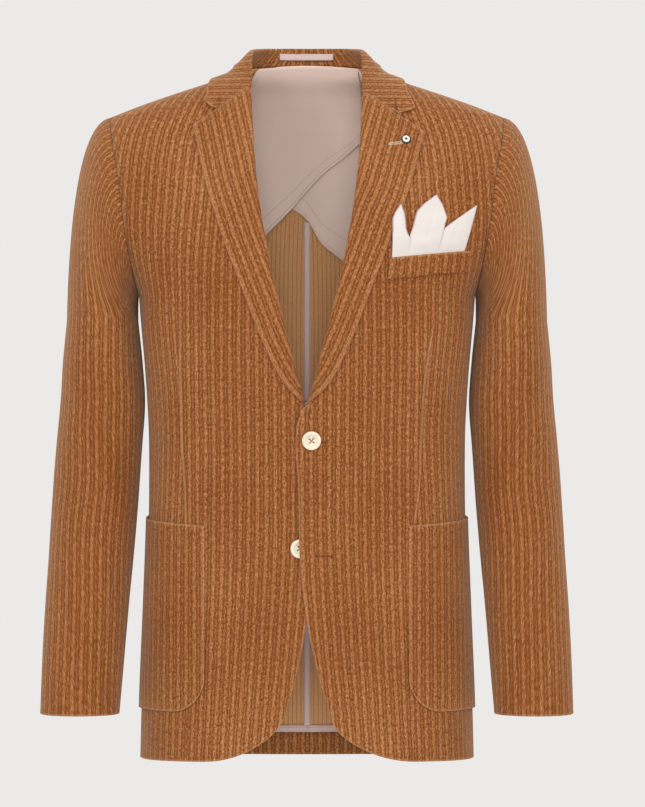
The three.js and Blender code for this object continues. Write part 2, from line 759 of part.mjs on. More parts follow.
// Sleeve: angle 0 is outermost (the shoulder point at the armhole), a quarter turn is
// the front. Rows 0 to 1 are the sleeve head and then the tube's rings follow.
function sleeveRing(z, angle) {
  const outer = readCurve(SLEEVE_RINGS, 'z', 'outer', z);
  const inner = readCurve(SLEEVE_RINGS, 'z', 'inner', z);
  const middle = readCurve(SLEEVE_RINGS, 'z', 'middle', z);
  const halfDepth = readCurve(SLEEVE_RINGS, 'z', 'halfDepth', z);
  let out = 0;
  for (const fold of SLEEVE_FOLDS) {
    const turn = ((angle * 180) / Math.PI + 360) % 360;
    const across = (turn - fold.angle - fold.lean * (z - fold.z)) / fold.spread;
    const down = (z - fold.z) / fold.run;
    out += fold.out * Math.exp(-down * down - across * across);
  }
  return [
    (outer + inner) / 2 + ((outer - inner) / 2 + out) * Math.cos(angle),
    middle - (halfDepth + out) * Math.sin(angle),
    z,
  ];
}

function armholePoint(angle) {
  const middle = (SHOULDER_POINT.z + ARMPIT_Z) / 2;
  const half = (SHOULDER_POINT.z - ARMPIT_Z) / 2;
  const z = middle + half * Math.cos(angle);
  const face = Math.sin(angle) >= 0 ? 'front' : 'back';
  const y = (face === 'front' ? -1 : 1) * armholeDepth(z, face);
  const x = readCurve(ARMHOLE_LINE, 'z', 'x', z) + ARMHOLE_SEAM_OUT;
  return [x, y, z - GAP * (1 - Math.cos(angle)) / 2];
}

const HEAD_FOOT_Z = SLEEVE_RINGS[0].z;
function sleevePoint(angle, row) {
  if (row > 1) return sleeveRing(mix(HEAD_FOOT_Z, CUFF_Z, row - 1), angle);
  const from = armholePoint(angle);
  const to = sleeveRing(HEAD_FOOT_Z, angle);
  const chord = Math.hypot(to[0] - from[0], to[1] - from[1], to[2] - from[2]);
  const up = (1 + Math.cos(angle)) / 2;
  const { leaveTop, leaveFoot, leaveReach, arriveReach } = SLEEVE_HEAD;
  const start = unit(lerpPoint(leaveFoot, leaveTop, up));
  const leave = mix(leaveReach.foot, leaveReach.top, up) * chord;
  const arrive = mix(arriveReach.foot, arriveReach.top, up) * chord;
  const t2 = row * row;
  const t3 = t2 * row;
  let point = [0, 0, 0];
  point = add(point, from, 2 * t3 - 3 * t2 + 1);
  point = add(point, start, (t3 - 2 * t2 + row) * leave);
  point = add(point, to, 3 * t2 - 2 * t3);
  return add(point, SLEEVE_HEAD.arrive, (t3 - t2) * arrive);
}

const CUFF_ROWS = 9;
const SMALL_STEP = 0.004;
function sleevePanel(fromStep, toStep) {
  const rowsAt = [...SLEEVE_HEAD_ROWS];
  for (let r = 1; r <= CUFF_ROWS; r += 1) rowsAt.push(1 + r / CUFF_ROWS);
  const rows = rowsAt.map((row) => {
    const made = [];
    for (let step = fromStep; step <= toStep; step += 1) {
      let angle = (2 * Math.PI * step) / ARM_STEPS;
      const seam = HALF_SEAM / SLEEVE_RADIUS;
      if (step === fromStep) angle += seam;
      if (step === toStep) angle -= seam;
      const point = sleevePoint(angle, row);
      const near = clamp(row, SMALL_STEP, 2 - SMALL_STEP);
      const middle = sleevePoint(angle + Math.PI, Math.max(row, 1));
      const upwards = row < 1 ? SLEEVE_RADIUS * Math.cos(angle) : 0;
      const away = [point[0] - middle[0], point[1] - middle[1], upwards];
      const normal = facing(normalOf(sleevePoint, angle, near, SMALL_STEP, SMALL_STEP), away);
      made.push({ point, normal });
    }
    return made;
  });
  return sheetWall(rows, CLOTH);
}

// Lapel: rolls round the front's inner edge and lies on the front out to its edge.
const CURL_STEPS = 3;
const CURL = { fromTop: -62, fromFoot: 0, to: 90 };

function lapelEdgeX(side, z) {
  const fuller = LAPEL[side].fuller * smoothStep((z - FULLER.fromZ) / FULLER.over);
  return readCurve(LAPEL_EDGE, 'z', 'x', z) + fuller;
}

// The edge is straight from the tip for its first part, and then follows its table.
function lapelRowEnds(side, share) {
  const cut = LAPEL[side];
  const rollZ = mix(cut.gorgeZ, cut.rollEndZ, share);
  const edgeZ = mix(cut.tipZ, cut.edgeEndZ, share);
  const last = smoothStep((share - 1 + LAPEL_FOOT_SHARE) / LAPEL_FOOT_SHARE);
  const tipEndZ = mix(cut.tipZ, cut.edgeEndZ, LAPEL_TIP_SHARE);
  const towardsTip = mix(cut.tipX, lapelEdgeX(side, tipEndZ), share / LAPEL_TIP_SHARE);
  const free = share < LAPEL_TIP_SHARE ? towardsTip : lapelEdgeX(side, edgeZ);
  const edgeX = mix(free, cut.edgeEndX, last);
  return { roll: [frontEdgeX(side, rollZ), rollZ], edge: [edgeX, edgeZ] };
}

function lapelLift(share, across) {
  const { springDown, looseDown, looseAcross } = LAPEL_EASE;
  const spring = LAPEL_SPRING * smoothStep(share * springDown) * across * (1 - across) ** 2;
  const loose = mix(LAPEL_LOOSE.top, LAPEL_LOOSE.foot, smoothStep(share * looseDown));
  return ROLL_RADIUS - CLOTH / 2 + spring + loose * smoothStep(across * looseAcross);
}

function lapelPoint(side, share, across) {
  const ends = lapelRowEnds(side, share);
  const x = mix(ends.roll[0], ends.edge[0], across);
  const z = mix(ends.roll[1], ends.edge[1], across);
  const normal = frontNormal(side, x, z);
  return { point: add(frontAt(side, x, z), normal, lapelLift(share, across)), normal };
}

function lapelRow(side, share) {
  const ends = lapelRowEnds(side, share);
  const edge = frontAt(side, ends.roll[0], ends.roll[1]);
  const normal = frontNormal(side, ends.roll[0], ends.roll[1]);
  const centre = add(edge, normal, -CLOTH / 2);
  const next = frontAt(side, ends.roll[0] + 1, ends.roll[1]);
  const outward = unit(add(next, edge, -1));
  const curlFrom = mix(CURL.fromTop, CURL.fromFoot, smoothStep(share));
  const outerRow = [];
  const innerRow = [];
  for (let i = 0; i < CURL_STEPS; i += 1) {
    const turn = (mix(curlFrom, CURL.to, i / CURL_STEPS) * Math.PI) / 180;
    const ray = add([0, 0, 0], outward, -Math.cos(turn));
    const spoke = add(ray, normal, Math.sin(turn));
    outerRow.push(add(centre, spoke, ROLL_RADIUS));
    innerRow.push(add(centre, spoke, ROLL_RADIUS - CLOTH));
  }
  for (const across of LAPEL_ACROSS) {
    const made = lapelPoint(side, share, across);
    outerRow.push(made.point);
    innerRow.push(add(made.point, made.normal, -CLOTH));
  }
  return { outerRow, innerRow };
}

function lapelPanel(side) {
  const rows = evenly(0, 1, LAPEL_ROWS).map((share) => lapelRow(side, share));
  return { outer: rows.map((row) => row.outerRow), inner: rows.map((row) => row.innerRow) };
}

// Points of the shoulders and chest that the collar lies on, spread over the faces of
// the front and back panels.
const SAMPLES_PER_CELL = 4;
const SAMPLES_DOWN_TO = -125;
const SHOULDER_HINT = 60;
function shoulderSamples() {
  const samples = [];
  for (const grid of [backPanel('right').outer, frontPanel('right').outer]) {
    for (let r = 0; r < grid.length - 1 && grid[r][0][2] > SAMPLES_DOWN_TO; r += 1) {
      for (let c = 0; c < grid[r].length - 1; c += 1) {
        const [a, b, d, e] = [grid[r][c], grid[r][c + 1], grid[r + 1][c], grid[r + 1][c + 1]];
        const n = facing(unit(crossOf(add(e, a, -1), add(b, d, -1))), [a[0], a[1], SHOULDER_HINT]);
        for (let i = 0; i < SAMPLES_PER_CELL; i += 1) {
          for (let j = 0; j < SAMPLES_PER_CELL; j += 1) {
            const down = i / (SAMPLES_PER_CELL - 1);
            const across = j / (SAMPLES_PER_CELL - 1);
            samples.push({ p: lerpPoint(lerpPoint(a, b, across), lerpPoint(d, e, across), down), n });
          }
        }
      }
    }
  }
  return samples;
}
const SHOULDER_SAMPLES = shoulderSamples();

// Moves a point out along the nearest part of the shoulder until it clears it.
function restOnShoulder(point, clearance) {
  let nearest = null;
  let best = Infinity;
  const own = [Math.abs(point[0]), point[1], point[2]];
  for (const sample of SHOULDER_SAMPLES) {
    const apart = Math.hypot(own[0] - sample.p[0], own[1] - sample.p[1], own[2] - sample.p[2]);
    if (apart < best) {
      best = apart;
      nearest = sample;
    }
  }
  const from = add(own, nearest.p, -1);
  const above = from[0] * nearest.n[0] + from[1] * nearest.n[1] + from[2] * nearest.n[2];
  if (above >= clearance) return point;
  const moved = add(own, nearest.n, clearance - above);
  return [point[0] < 0 ? -moved[0] : moved[0], moved[1], moved[2]];
}

// The neck seam that the collar stand is sewn to: round the back neck, and then along
// the top of the front to the roll line. There it moves in past the roll's edge.
const STAND = {
  shoulderStep: 0.62,
  aboveSeam: GAP + 0.6,
  frontTurnsAt: 0.62,
  frontEndZ: -40,
  frontPace: 1.6,
  shoulder: { inX: 1.4, inY: 0, upZ: 1.2 },
  roll: { inX: 3.9, inY: 3.2, upZ: 0 },
  passes: { from: 0.5, over: 0.2 },
};
function standFoot(step) {
  if (step <= STAND.shoulderStep) {
    const share = step / STAND.shoulderStep;
    const z = neckSeamZ(share);
    const path = quarter(z, 'back');
    const along = path.length * share;
    const around = quarter(z, 'front').length + path.length - along;
    const normal = bodyNormal('right', z, around);
    const flat = unit([normal[0], normal[1], 0]);
    return add(add(backPoint('right', z, along), flat, -CLOTH), [0, 0, 1], STAND.aboveSeam);
  }
  const share = (step - STAND.shoulderStep) / (1 - STAND.shoulderStep);
  const down = smoothStep((share - STAND.frontTurnsAt) / (1 - STAND.frontTurnsAt));
  const z = mix(NECK_SIDE.z, STAND.frontEndZ, down);
  const path = quarter(z, 'front');
  const from = lengthAtX(path, NECK_SIDE.x - 1);
  const to = lengthAtX(path, frontEdgeX('right', z));
  const p = bodyPoint('right', z, mix(from, to, smoothStep(share * STAND.frontPace)));
  const past = smoothStep((share - STAND.passes.from) / STAND.passes.over);
  const { shoulder, roll } = STAND;
  return [
    p[0] - mix(shoulder.inX, roll.inX, past),
    p[1] + mix(shoulder.inY, roll.inY, past),
    p[2] + mix(shoulder.upZ, roll.upZ, past),
  ];
}

function collarColumn(name, step, axis) {
  const table = COLLAR.map((row) => ({ step: row.step, value: row[name][axis] }));
  return readCurve(table, 'step', 'value', step);
}

// The collar's front end follows the gorge, which is lower on the left, as its tip is.
function frontShare(step) {
  return smoothStep((step - GORGE_LEAD.step) / (1 - GORGE_LEAD.step));
}

function frontDrop(step, side) {
  return COLLAR_FRONT_DROP[side] * frontShare(step);
}

function collarKey(name, step, side) {
  const point = [0, 1, 2].map((axis) => collarColumn(name, step, axis));
  point[2] += frontDrop(step, side);
  if (name !== 'edge') return point;
  const share = frontShare(step);
  return add(point, [COLLAR_TIP[side].out, 0, COLLAR_TIP[side].up], share);
}

// The collar's end along the gorge seam, just above the lapel's top row: the same roll,
// then along the lapel to the notch.
function gorgeEnd(side) {
  const { roll, edge } = lapelRowEnds(side, 0);
  const above = unit([roll[1] - edge[1], 0, edge[0] - roll[0]]);
  const { outerRow, innerRow } = lapelRow(side, 0);
  const outer = [outerRow[0], lerpPoint(outerRow[0], outerRow[1], 0.5), outerRow[1], outerRow[2]];
  const inner = [innerRow[0], lerpPoint(innerRow[0], innerRow[1], 0.5), innerRow[1], innerRow[2]];
  for (const across of LAPEL_ACROSS.filter((value) => value <= NOTCH_ACROSS)) {
    const { point, normal } = lapelPoint(side, 0, across);
    outer.push(point);
    inner.push(add(point, normal, -CLOTH));
  }
  const raise = (point) => add(point, above, GORGE_GAP);
  return { outer: outer.map(raise), inner: inner.map(raise) };
}

// One section across the collar: foot of the stand, over the fold, and down the fall.
function collarSection(step, side) {
  const foot = standFoot(step);
  foot[2] += frontDrop(step, side);
  const fold = collarKey('fold', step, side);
  const fall = collarKey('fall', step, side);
  const edge = collarKey('edge', step, side);
  const out = unit([fall[0] - fold[0], fall[1] - fold[1], 0]);
  const { inside: inAt, ridge: ridgeAt, outside: outAt, rollFrom } = COLLAR_FOLD;
  const radius = mix(COLLAR_FOLD.radius, ROLL_RADIUS, smoothStep((step - rollFrom) / (1 - rollFrom)));
  const ridge = add(fold, out, radius * ridgeAt);
  const inside = add(fold, out, radius * inAt);
  inside[2] -= radius;
  const outside = add(fold, out, radius * outAt);
  outside[2] -= radius;
  return [foot, inside, ridge, outside, fall, edge];
}

function catmull(points, at) {
  const last = points.length - 1;
  const k = Math.min(Math.floor(at), last - 1);
  const t = at - k;
  const a = points[Math.max(0, k - 1)];
  const b = points[k];
  const c = points[k + 1];
  const d = points[Math.min(last, k + 2)];
  return [0, 1, 2].map((i) => {
    const bend = (2 * a[i] - 5 * b[i] + 4 * c[i] - d[i]) * t * t;
    const twist = (3 * b[i] - a[i] - 3 * c[i] + d[i]) * t * t * t;
    return 0.5 * (2 * b[i] + (c[i] - a[i]) * t + bend + twist);
  });
}

function collarPoint(turn, across) {
  const side = turn < 0 ? 'right' : 'left';
  const step = clamp(Math.abs(turn), 0, 1);
  const plain = catmull(collarSection(step, side), clamp(across, 0, COLLAR_EDGE));
  const share = smoothStep((step - GORGE_LEAD.from) / (1 - GORGE_LEAD.from));
  const column = COLLAR_ACROSS.indexOf(across);
  let point = plain;
  if (share > 0 && column >= 0 && across <= GORGE_TO) {
    const end = gorgeEnd(side).outer[column];
    const back = unit(add(catmull(collarSection(GORGE_LEAD.step, side), across), end, -1));
    point = lerpPoint(plain, add(end, back, (1 - step) * GORGE_LEAD.reach), share);
  }
  if (turn < 0) point[0] = -point[0];
  return across > COLLAR_RIDGE ? restOnShoulder(point, CLOTH + COLLAR_LIFT) : point;
}

function collarPanel() {
  const turns = [...COLLAR_STEPS.slice(1).reverse().map((step) => -step), ...COLLAR_STEPS];
  const points = turns.map((turn) => COLLAR_ACROSS.map((across) => collarPoint(turn, across)));
  const rows = points.map((row, r) => row.map((point, c) => {
    const before = points[Math.max(0, r - 1)][c];
    const after = points[Math.min(points.length - 1, r + 1)][c];
    const left = row[Math.max(0, c - 1)];
    const right = row[Math.min(row.length - 1, c + 1)];
    const normal = unit(crossOf(add(after, before, -1), add(right, left, -1)));
    return { point, normal };
  }));
  const atBack = rows[COLLAR_STEPS.length - 1][COLLAR_ACROSS.length - 1].normal;
  const sign = atBack[1] < 0 ? -1 : 1;
  for (const row of rows) {
    for (const made of row) made.normal = made.normal.map((value) => value * sign);
  }
  const sheet = sheetWall(rows, CLOTH);
  const falls = COLLAR_ACROSS.map((across) => across > COLLAR_RIDGE);
  const settled = (point, c) => (falls[c] ? restOnShoulder(point, COLLAR_LIFT) : point);
  sheet.inner = sheet.inner.map((row) => row.map(settled));
  for (const [side, r] of [['right', 0], ['left', rows.length - 1]]) {
    const end = gorgeEnd(side);
    const own = (point) => (side === 'right' ? [-point[0], point[1], point[2]] : point);
    end.outer.forEach((point, c) => { sheet.outer[r][c] = own(point); });
    end.inner.forEach((point, c) => { sheet.inner[r][c] = own(point); });
  }
  return sheet;
}

// Patch pocket: follows the body from its front edge past the side seam.
function pocketPanel(side) {
  const { columns, rows: rowCount } = POCKET;
  const rows = [];
  for (let r = 0; r <= rowCount; r += 1) {
    const row = [];
    for (let c = 0; c <= columns; c += 1) {
      const share = c / columns;
      const fromCorner = POCKET.width * Math.min(share, 1 - share);
      const into = clamp(1 - fromCorner / POCKET.corner, 0, 1);
      const lift = POCKET.corner * (1 - Math.sqrt(1 - into * into * POCKET.roundness));
      const top = mix(POCKET.topFront, POCKET.topSide, share);
      const z = mix(top, POCKET.bottom + lift, r / rowCount);
      const start = lengthAtX(quarter(z, 'front'), POCKET.frontX);
      const around = start + share * POCKET.width;
      row.push({ point: bodyPoint(side, z, around), normal: bodyNormal(side, z, around) });
    }
    rows.push(row);
  }
  const fullness = (r, c) => {
    const round = Math.sin((Math.PI * c) / columns) * Math.sin((Math.PI * (r + 1)) / (rowCount + 2));
    return CLOTH + POCKET_LIFT + POCKET_FULLNESS * round;
  };
  return sheetWall(rows, CLOTH, fullness);
}

// Chest pocket welt and the folded square that stands behind it.
function weltPanel() {
  const rows = [];
  for (let r = 0; r <= WELT.rows; r += 1) {
    const row = [];
    const down = r / WELT.rows;
    for (let c = 0; c <= WELT.columns; c += 1) {
      const share = c / WELT.columns;
      const x = mix(WELT.x0, WELT.x1, share) - down * WELT.lean;
      const z = mix(WELT.z0, WELT.z1, share) - down * WELT.height;
      row.push({ point: frontAt('left', x, z), normal: frontNormal('left', x, z) });
    }
    rows.push(row);
  }
  return sheetWall(rows, CLOTH, () => CLOTH + WELT_LIFT);
}

function squarePanel() {
  const rows = [];
  for (let r = 0; r <= SQUARE_ROWS; r += 1) {
    rows.push(SQUARE.map((column) => {
      const share = r / SQUARE_ROWS;
      const along = (column.footX - WELT.x0) / (WELT.x1 - WELT.x0);
      const footZ = mix(WELT.z0, WELT.z1, along) + SQUARE_ABOVE_WELT;
      const x = mix(column.footX, column.topX, share);
      const z = mix(footZ, column.topZ, share);
      return { point: frontAt('left', x, z), normal: frontNormal('left', x, z) };
    }));
  }
  const ridge = (r, c) => {
    const round = Math.sin((Math.PI * (r + 0.6)) / (SQUARE_ROWS + 1));
    return SQUARE_CLOTH + WELT_LIFT + SQUARE[c].out * round;
  };
  return sheetWall(rows, SQUARE_CLOTH, ridge);
}

// A point of the back and its normal, found by x, which may lie past the middle.
function insideBack(side, x, z) {
  const path = quarter(z, 'back');
  const along = lengthAtX(path, x);
  const around = quarter(z, 'front').length + path.length - Math.abs(along);
  const normal = bodyNormal(side, z, around);
  if (x < 0) normal[0] = -normal[0];
  return { point: backPoint(side, z, along), normal };
}

function liningTop(reach) {
  const shoulder = LINING_TOP.shoulderZ - LINING_TOP.slope * (reach - LINING_TOP.shoulderX);
  if (reach >= LINING_TOP.neckTo) return shoulder - LINING_TOP.underShoulder;
  const neck = neckSeamZ(reach / NECK_SIDE.x) - LINING_TOP.underNeck;
  return Math.min(neck, shoulder + LINING_TOP.atNeck);
}

// Half lining: a flap of thin cloth inside the back, from the neck and shoulder seams.
function liningFlap(side, depth) {
  const edge = LINING_EDGE[side];
  const { rows: rowCount, columns } = LINING_GRID;
  const rows = [];
  for (let r = 0; r <= rowCount; r += 1) {
    const row = [];
    for (let c = 0; c <= columns; c += 1) {
      const x = mix(edge[0].x, edge[edge.length - 1].x, c / columns);
      const z = mix(liningTop(Math.abs(x)), readCurve(edge, 'x', 'z', x), r / rowCount);
      row.push(insideBack(side, x, z));
    }
    rows.push(row);
  }
  return sheetWall(rows, LINING, () => -depth);
}

// The back hem's tape and turn-up follow the back panel's own columns.
function hemStrip(heights, thickness) {
  const rows = heights.map((height) => {
    const row = [];
    for (let c = 0; c <= BACK_COLUMNS; c += 1) {
      const share = c / BACK_COLUMNS;
      const z = mix(height, height + SIDE_HEM_Z - BACK_HEM_Z, share * share);
      const path = quarter(z, 'back');
      const along = mix(HALF_SEAM, path.length - HALF_SEAM, share);
      const around = quarter(z, 'front').length + path.length - along;
      row.push({ point: backPoint('left', z, along), normal: bodyNormal('left', z, around) });
    }
    return row;
  });
  return sheetWall(rows, thickness, () => -CLOTH - GAP);
}

// The tape over the centre seam, from under the linings to the hem tape.
function centreTape() {
  const foot = HEM_TAPE.top + GAP;
  const { width, topZ, between, lowRow } = TAPE;
  const heights = [topZ, ...PANEL_ROWS.filter((z) => z < topZ - between && z > foot + between), lowRow, foot];
  const rows = heights.map((z) => [-width / 2, width / 2].map((x) => insideBack('left', x, z)));
  return sheetWall(rows, LINING, () => -CLOTH - GAP);
}

// How far back the visible face of the collar stand is at a place behind the neck.
const STAND_SEARCH = { turn: 0.35, turnStep: 0.01, acrossStep: 0.1 };
function standFaceY(x, z) {
  let best = { apart: Infinity };
  for (let turn = -STAND_SEARCH.turn; turn <= STAND_SEARCH.turn; turn += STAND_SEARCH.turnStep) {
    for (let across = 0; across <= 1; across += STAND_SEARCH.acrossStep) {
      const point = collarPoint(turn, across);
      const apart = Math.hypot(point[0] - x, point[2] - z);
      if (apart < best.apart) best = { apart, y: point[1] };
    }
  }
  return best.y;
}

// The hanger loop: a flat strip across the back of the collar stand.
function hangerLoop() {
  const { x0, x1, z0, z1, columns, offStand } = LOOP;
  const rows = [z1, z0].map((z) => evenly(x0, x1, columns).map((x, c) => {
    const bow = LOOP.bow * Math.sin((Math.PI * c) / columns);
    return { point: [x, standFaceY(x, z) - offStand - bow, z], normal: [0, -1, 0] };
  }));
  return sheetWall(rows, LOOP.thickness, () => LOOP.thickness);
}

const wasm = await Module();
wasm.setup();

function toSolid(geometry) {
  const bare = geometry.clone();
  bare.deleteAttribute('normal');
  bare.deleteAttribute('uv');
  const merged = mergeVertices(bare, 1e-4);
  const vertProperties = new Float32Array(merged.attributes.position.array);
  const triVerts = new Uint32Array(merged.index.array);
  return new wasm.Manifold(new wasm.Mesh({ numProp: 3, vertProperties, triVerts }));
}

function fromSolid(solid) {
  const mesh = solid.getMesh();
  const geometry = new THREE.BufferGeometry();
  geometry.setAttribute('position', new THREE.Float32BufferAttribute(mesh.vertProperties, 3));
  geometry.setIndex(Array.from(mesh.triVerts));
  return geometry;
}

function turned({ profile, facets }) {
  const points = profile.map(({ radius, height }) => new THREE.Vector2(radius, height));
  return toSolid(new THREE.LatheGeometry(points, facets));
}

// Button: a turned disc with a rim, a shallow dish and four holes.
function buttonGeometry() {
  const { holeRadius, holeFrom, holeFacets, drill } = BUTTON;
  let solid = turned(BUTTON);
  for (const [sx, sy] of [[1, 1], [1, -1], [-1, 1], [-1, -1]]) {
    const hole = new THREE.CylinderGeometry(holeRadius, holeRadius, drill, holeFacets);
    hole.translate(sx * holeFrom, 0, sy * holeFrom);
    solid = solid.subtract(toSolid(hole));
  }
  return fromSolid(solid);
}

// Lapel pin: a plain round head with a rim and a small raised middle.
function pinGeometry() {
  return fromSolid(turned(PIN));
}

function seatOn(mesh, side, point, normal, lift) {
  const at = add(point, normal, lift);
  const flip = side === 'left' ? 1 : -1;
  mesh.position.set(at[0] * flip, at[1], at[2]);
  const way = new THREE.Vector3(normal[0] * flip, normal[1], normal[2]);
  mesh.quaternion.setFromUnitVectors(new THREE.Vector3(0, 1, 0), way);
}

for (const side of ['left', 'right']) {
  placeWall(`front_${side}`, frontPanel(side), side, COLOURS.corduroy);
  placeWall(`back_${side}`, backPanel(side), side, COLOURS.corduroy);
  const firstTop = UNDER_SLEEVE_TO - ARM_STEPS;
  placeWall(`top_sleeve_${side}`, sleevePanel(firstTop, UNDER_SLEEVE_FROM), side, COLOURS.corduroy);
  const under = sleevePanel(UNDER_SLEEVE_FROM, UNDER_SLEEVE_TO);
  placeWall(`under_sleeve_${side}`, under, side, COLOURS.corduroy);
  placeWall(`lapel_${side}`, lapelPanel(side), side, COLOURS.corduroy);
  placeWall(`pocket_${side}`, pocketPanel(side), side, COLOURS.corduroy);
  const turnUpMiddle = (HEM_TAPE.bottom + BACK_HEM_Z) / 2;
  const turnUpRows = [HEM_TAPE.bottom - GAP, turnUpMiddle, BACK_HEM_Z + TURN_UP_ABOVE_HEM];
  placeWall(`back_hem_${side}`, hemStrip(turnUpRows, CLOTH), side, COLOURS.corduroy);
  placeWall(`hem_tape_${side}`, hemStrip([HEM_TAPE.top, HEM_TAPE.bottom], LINING), side, COLOURS.lining);
}
placeWall('collar', collarPanel(), 'left', COLOURS.corduroy);
placeWall('chest_welt', weltPanel(), 'left', COLOURS.corduroy);
placeWall('pocket_square', squarePanel(), 'left', COLOURS.linen);
placeWall('half_lining_left', liningFlap('left', CLOTH + LINING_HANG.under), 'left', COLOURS.lining);
const overlaid = liningFlap('right', CLOTH + LINING + LINING_HANG.over);
placeWall('half_lining_right', overlaid, 'right', COLOURS.lining);
placeWall('centre_seam_tape', centreTape(), 'left', COLOURS.lining);
placeWall('hanger_loop', hangerLoop(), 'left', COLOURS.lining);

for (const { name, side, x, z, lift } of BUTTONS) {
  const button = place(name, buttonGeometry(), COLOURS.button, BUTTON.roughness);
  seatOn(button, side, frontAt(side, x, z), frontNormal(side, x, z), lift);
}

// The pin's place is looked up on the left lapel, by the row and the way across it.
const LAPEL_SEARCH = { to: 0.3, step: 0.005, acrossStep: 0.01 };
function onLapel(side, x, z) {
  let best = { apart: Infinity };
  for (let share = 0; share <= LAPEL_SEARCH.to; share += LAPEL_SEARCH.step) {
    for (let across = 0; across <= 1; across += LAPEL_SEARCH.acrossStep) {
      const { point, normal } = lapelPoint(side, share, across);
      const apart = Math.hypot(point[0] - x, point[2] - z);
      if (apart < best.apart) best = { apart, point, normal };
    }
  }
  return best;
}
const pin = place('lapel_pin', pinGeometry(), COLOURS.pin, PIN.roughness);
const pinSeat = onLapel('left', PIN.x, PIN.z);
seatOn(pin, 'left', pinSeat.point, pinSeat.normal, GAP);

export default jacket;
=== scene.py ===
# A two-button corduroy jacket, filled out as if worn. Metres, in the frame of the CAD model:
# it faces -Y, +Z is up and the wearer's left is +X. Sizes below are millimetres unless they
# say otherwise, and "own" x is measured outwards on each side.

import math

import bpy
import bmesh
import numpy as np
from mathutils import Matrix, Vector


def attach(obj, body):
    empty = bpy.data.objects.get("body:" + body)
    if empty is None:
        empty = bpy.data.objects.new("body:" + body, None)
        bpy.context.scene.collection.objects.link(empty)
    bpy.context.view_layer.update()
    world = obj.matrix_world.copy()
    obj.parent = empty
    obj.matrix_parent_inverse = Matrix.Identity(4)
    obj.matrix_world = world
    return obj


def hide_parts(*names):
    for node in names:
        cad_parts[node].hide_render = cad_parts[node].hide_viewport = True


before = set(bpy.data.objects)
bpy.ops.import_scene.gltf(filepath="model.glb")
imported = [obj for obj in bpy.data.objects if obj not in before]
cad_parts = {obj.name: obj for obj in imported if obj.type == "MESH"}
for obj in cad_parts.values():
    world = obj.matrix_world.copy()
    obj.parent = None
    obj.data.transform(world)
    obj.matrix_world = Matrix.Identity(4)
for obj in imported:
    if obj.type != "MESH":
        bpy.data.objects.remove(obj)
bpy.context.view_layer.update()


# The two fronts. Heavy cotton corduroy of alternating wide and narrow wales, cut in one piece
# from shoulder to hem, with a dart from under the chest to the pocket and a rounded cutaway.
# The wearer's left front laps over the right one.
CLOTH = 2.0
GAP = 0.3
HALF_SEAM = GAP / 2
NECK_SIDE_X, NECK_SIDE_Z = 78, -12.6
SHOULDER_X, SHOULDER_Z = 216, -61.7
ARMPIT_Z = -258
ARMHOLE_DEPTH = {"front": 78, "back": 74}
FRONT_HEM_Z, BACK_HEM_Z, SIDE_HEM_Z = -760, -770, -763


def table(columns, *rows):
    """Rows sorted by their first column, as one array for each named column."""
    rows = sorted(rows)
    return {name: np.array([row[i] for row in rows], float) for i, name in enumerate(columns.split())}


def read(tab, column, at):
    """A column at any place of the table's first column, smooth between its rows."""
    keys, values = next(iter(tab.values())), tab[column]
    last = len(keys) - 1
    at = np.clip(np.asarray(at, float), keys[0], keys[-1])
    k = np.clip(np.searchsorted(keys, at) - 1, 0, last - 1)
    i = np.arange(last + 1)
    low, high = np.maximum(i - 1, 0), np.minimum(i + 1, last)
    slope = (values[high] - values[low]) / (keys[high] - keys[low])
    run = keys[k + 1] - keys[k]
    t = (at - keys[k]) / run
    return ((2 * t**3 - 3 * t**2 + 1) * values[k] + (t**3 - 2 * t**2 + t) * run * slope[k]
            + (3 * t**2 - 2 * t**3) * values[k + 1] + (t**3 - t**2) * run * slope[k + 1])


def ease(share):
    t = np.clip(share, 0, 1)
    return t * t * (3 - 2 * t)


def blend(a, b, share):
    return a + (b - a) * share


def unit(v):
    return v / np.maximum(np.linalg.norm(v, axis=-1, keepdims=True), 1e-9)


RINGS = table(
    "z front back power",
    (-775, 122, 119, 2.5), (-700, 121, 114, 2.5), (-600, 118, 104, 2.5), (-500, 115, 90, 2.5),
    (-415, 116, 89, 2.6), (-330, 121, 103, 2.7), (ARMPIT_Z, 122, 115, 2.7), (-200, 117, 119, 2.5),
    (-150, 108, 118, 2.4), (-100, 94, 112, 2.35), (SHOULDER_Z, 76, 102, 2.3), (-30, 56, 88, 2.2),
    (NECK_SIDE_Z, 34, 77, 2.2), (4, 24, 71, 2.2),
)
SHOULDER_LINE = table(
    "z x", (SHOULDER_Z, SHOULDER_X), (-48.5, 182.6), (-35.3, 144.6), (-22.4, 105.4),
    (NECK_SIDE_Z, NECK_SIDE_X),
)
ARMHOLE_LINE = table(
    "z x", (ARMPIT_Z, 184.5), (-244, 187.5), (-215, 192.5), (-173, 199.5), (-121, 206), (-98, 211),
    (SHOULDER_Z, SHOULDER_X),
)
SIDE_LINE = table(
    "z x", (-775, 183.5), (-700, 181.5), (-600, 177), (-500, 174), (-416, 173.5), (-372, 175.5),
    (-330, 178.5), (-285, 182.5), (ARMPIT_Z, 184.5),
)
ROLL_LINE = table(
    "z x", (-400, -12), (-388, -5.5), (-358, 6), (-320, 16), (-280, 26), (-237, 36), (-200, 43.5),
    (-170, 49), (-130, 54), (-86, 57.5), (-34, 60), (0, 60),
)
FREE_EDGE = {
    "left": table(
        "z x", (-721, 29.4), (-697, 21.8), (-672, 14), (-638.6, 6.2), (-614, 1.5), (-569, -4.6),
        (-521, -7.6), (-458, -8.8), (-425, -11.4), (-403, -10.5), (-388, -6.5)),
    "right": table(
        "z x", (-716.6, 26.5), (-697, 20), (-670, 12), (-638.7, 5.5), (-612, 1.2), (-590, -5),
        (-560, -11), (-480, -13.5), (-415, -13), (-388, -5)),
}
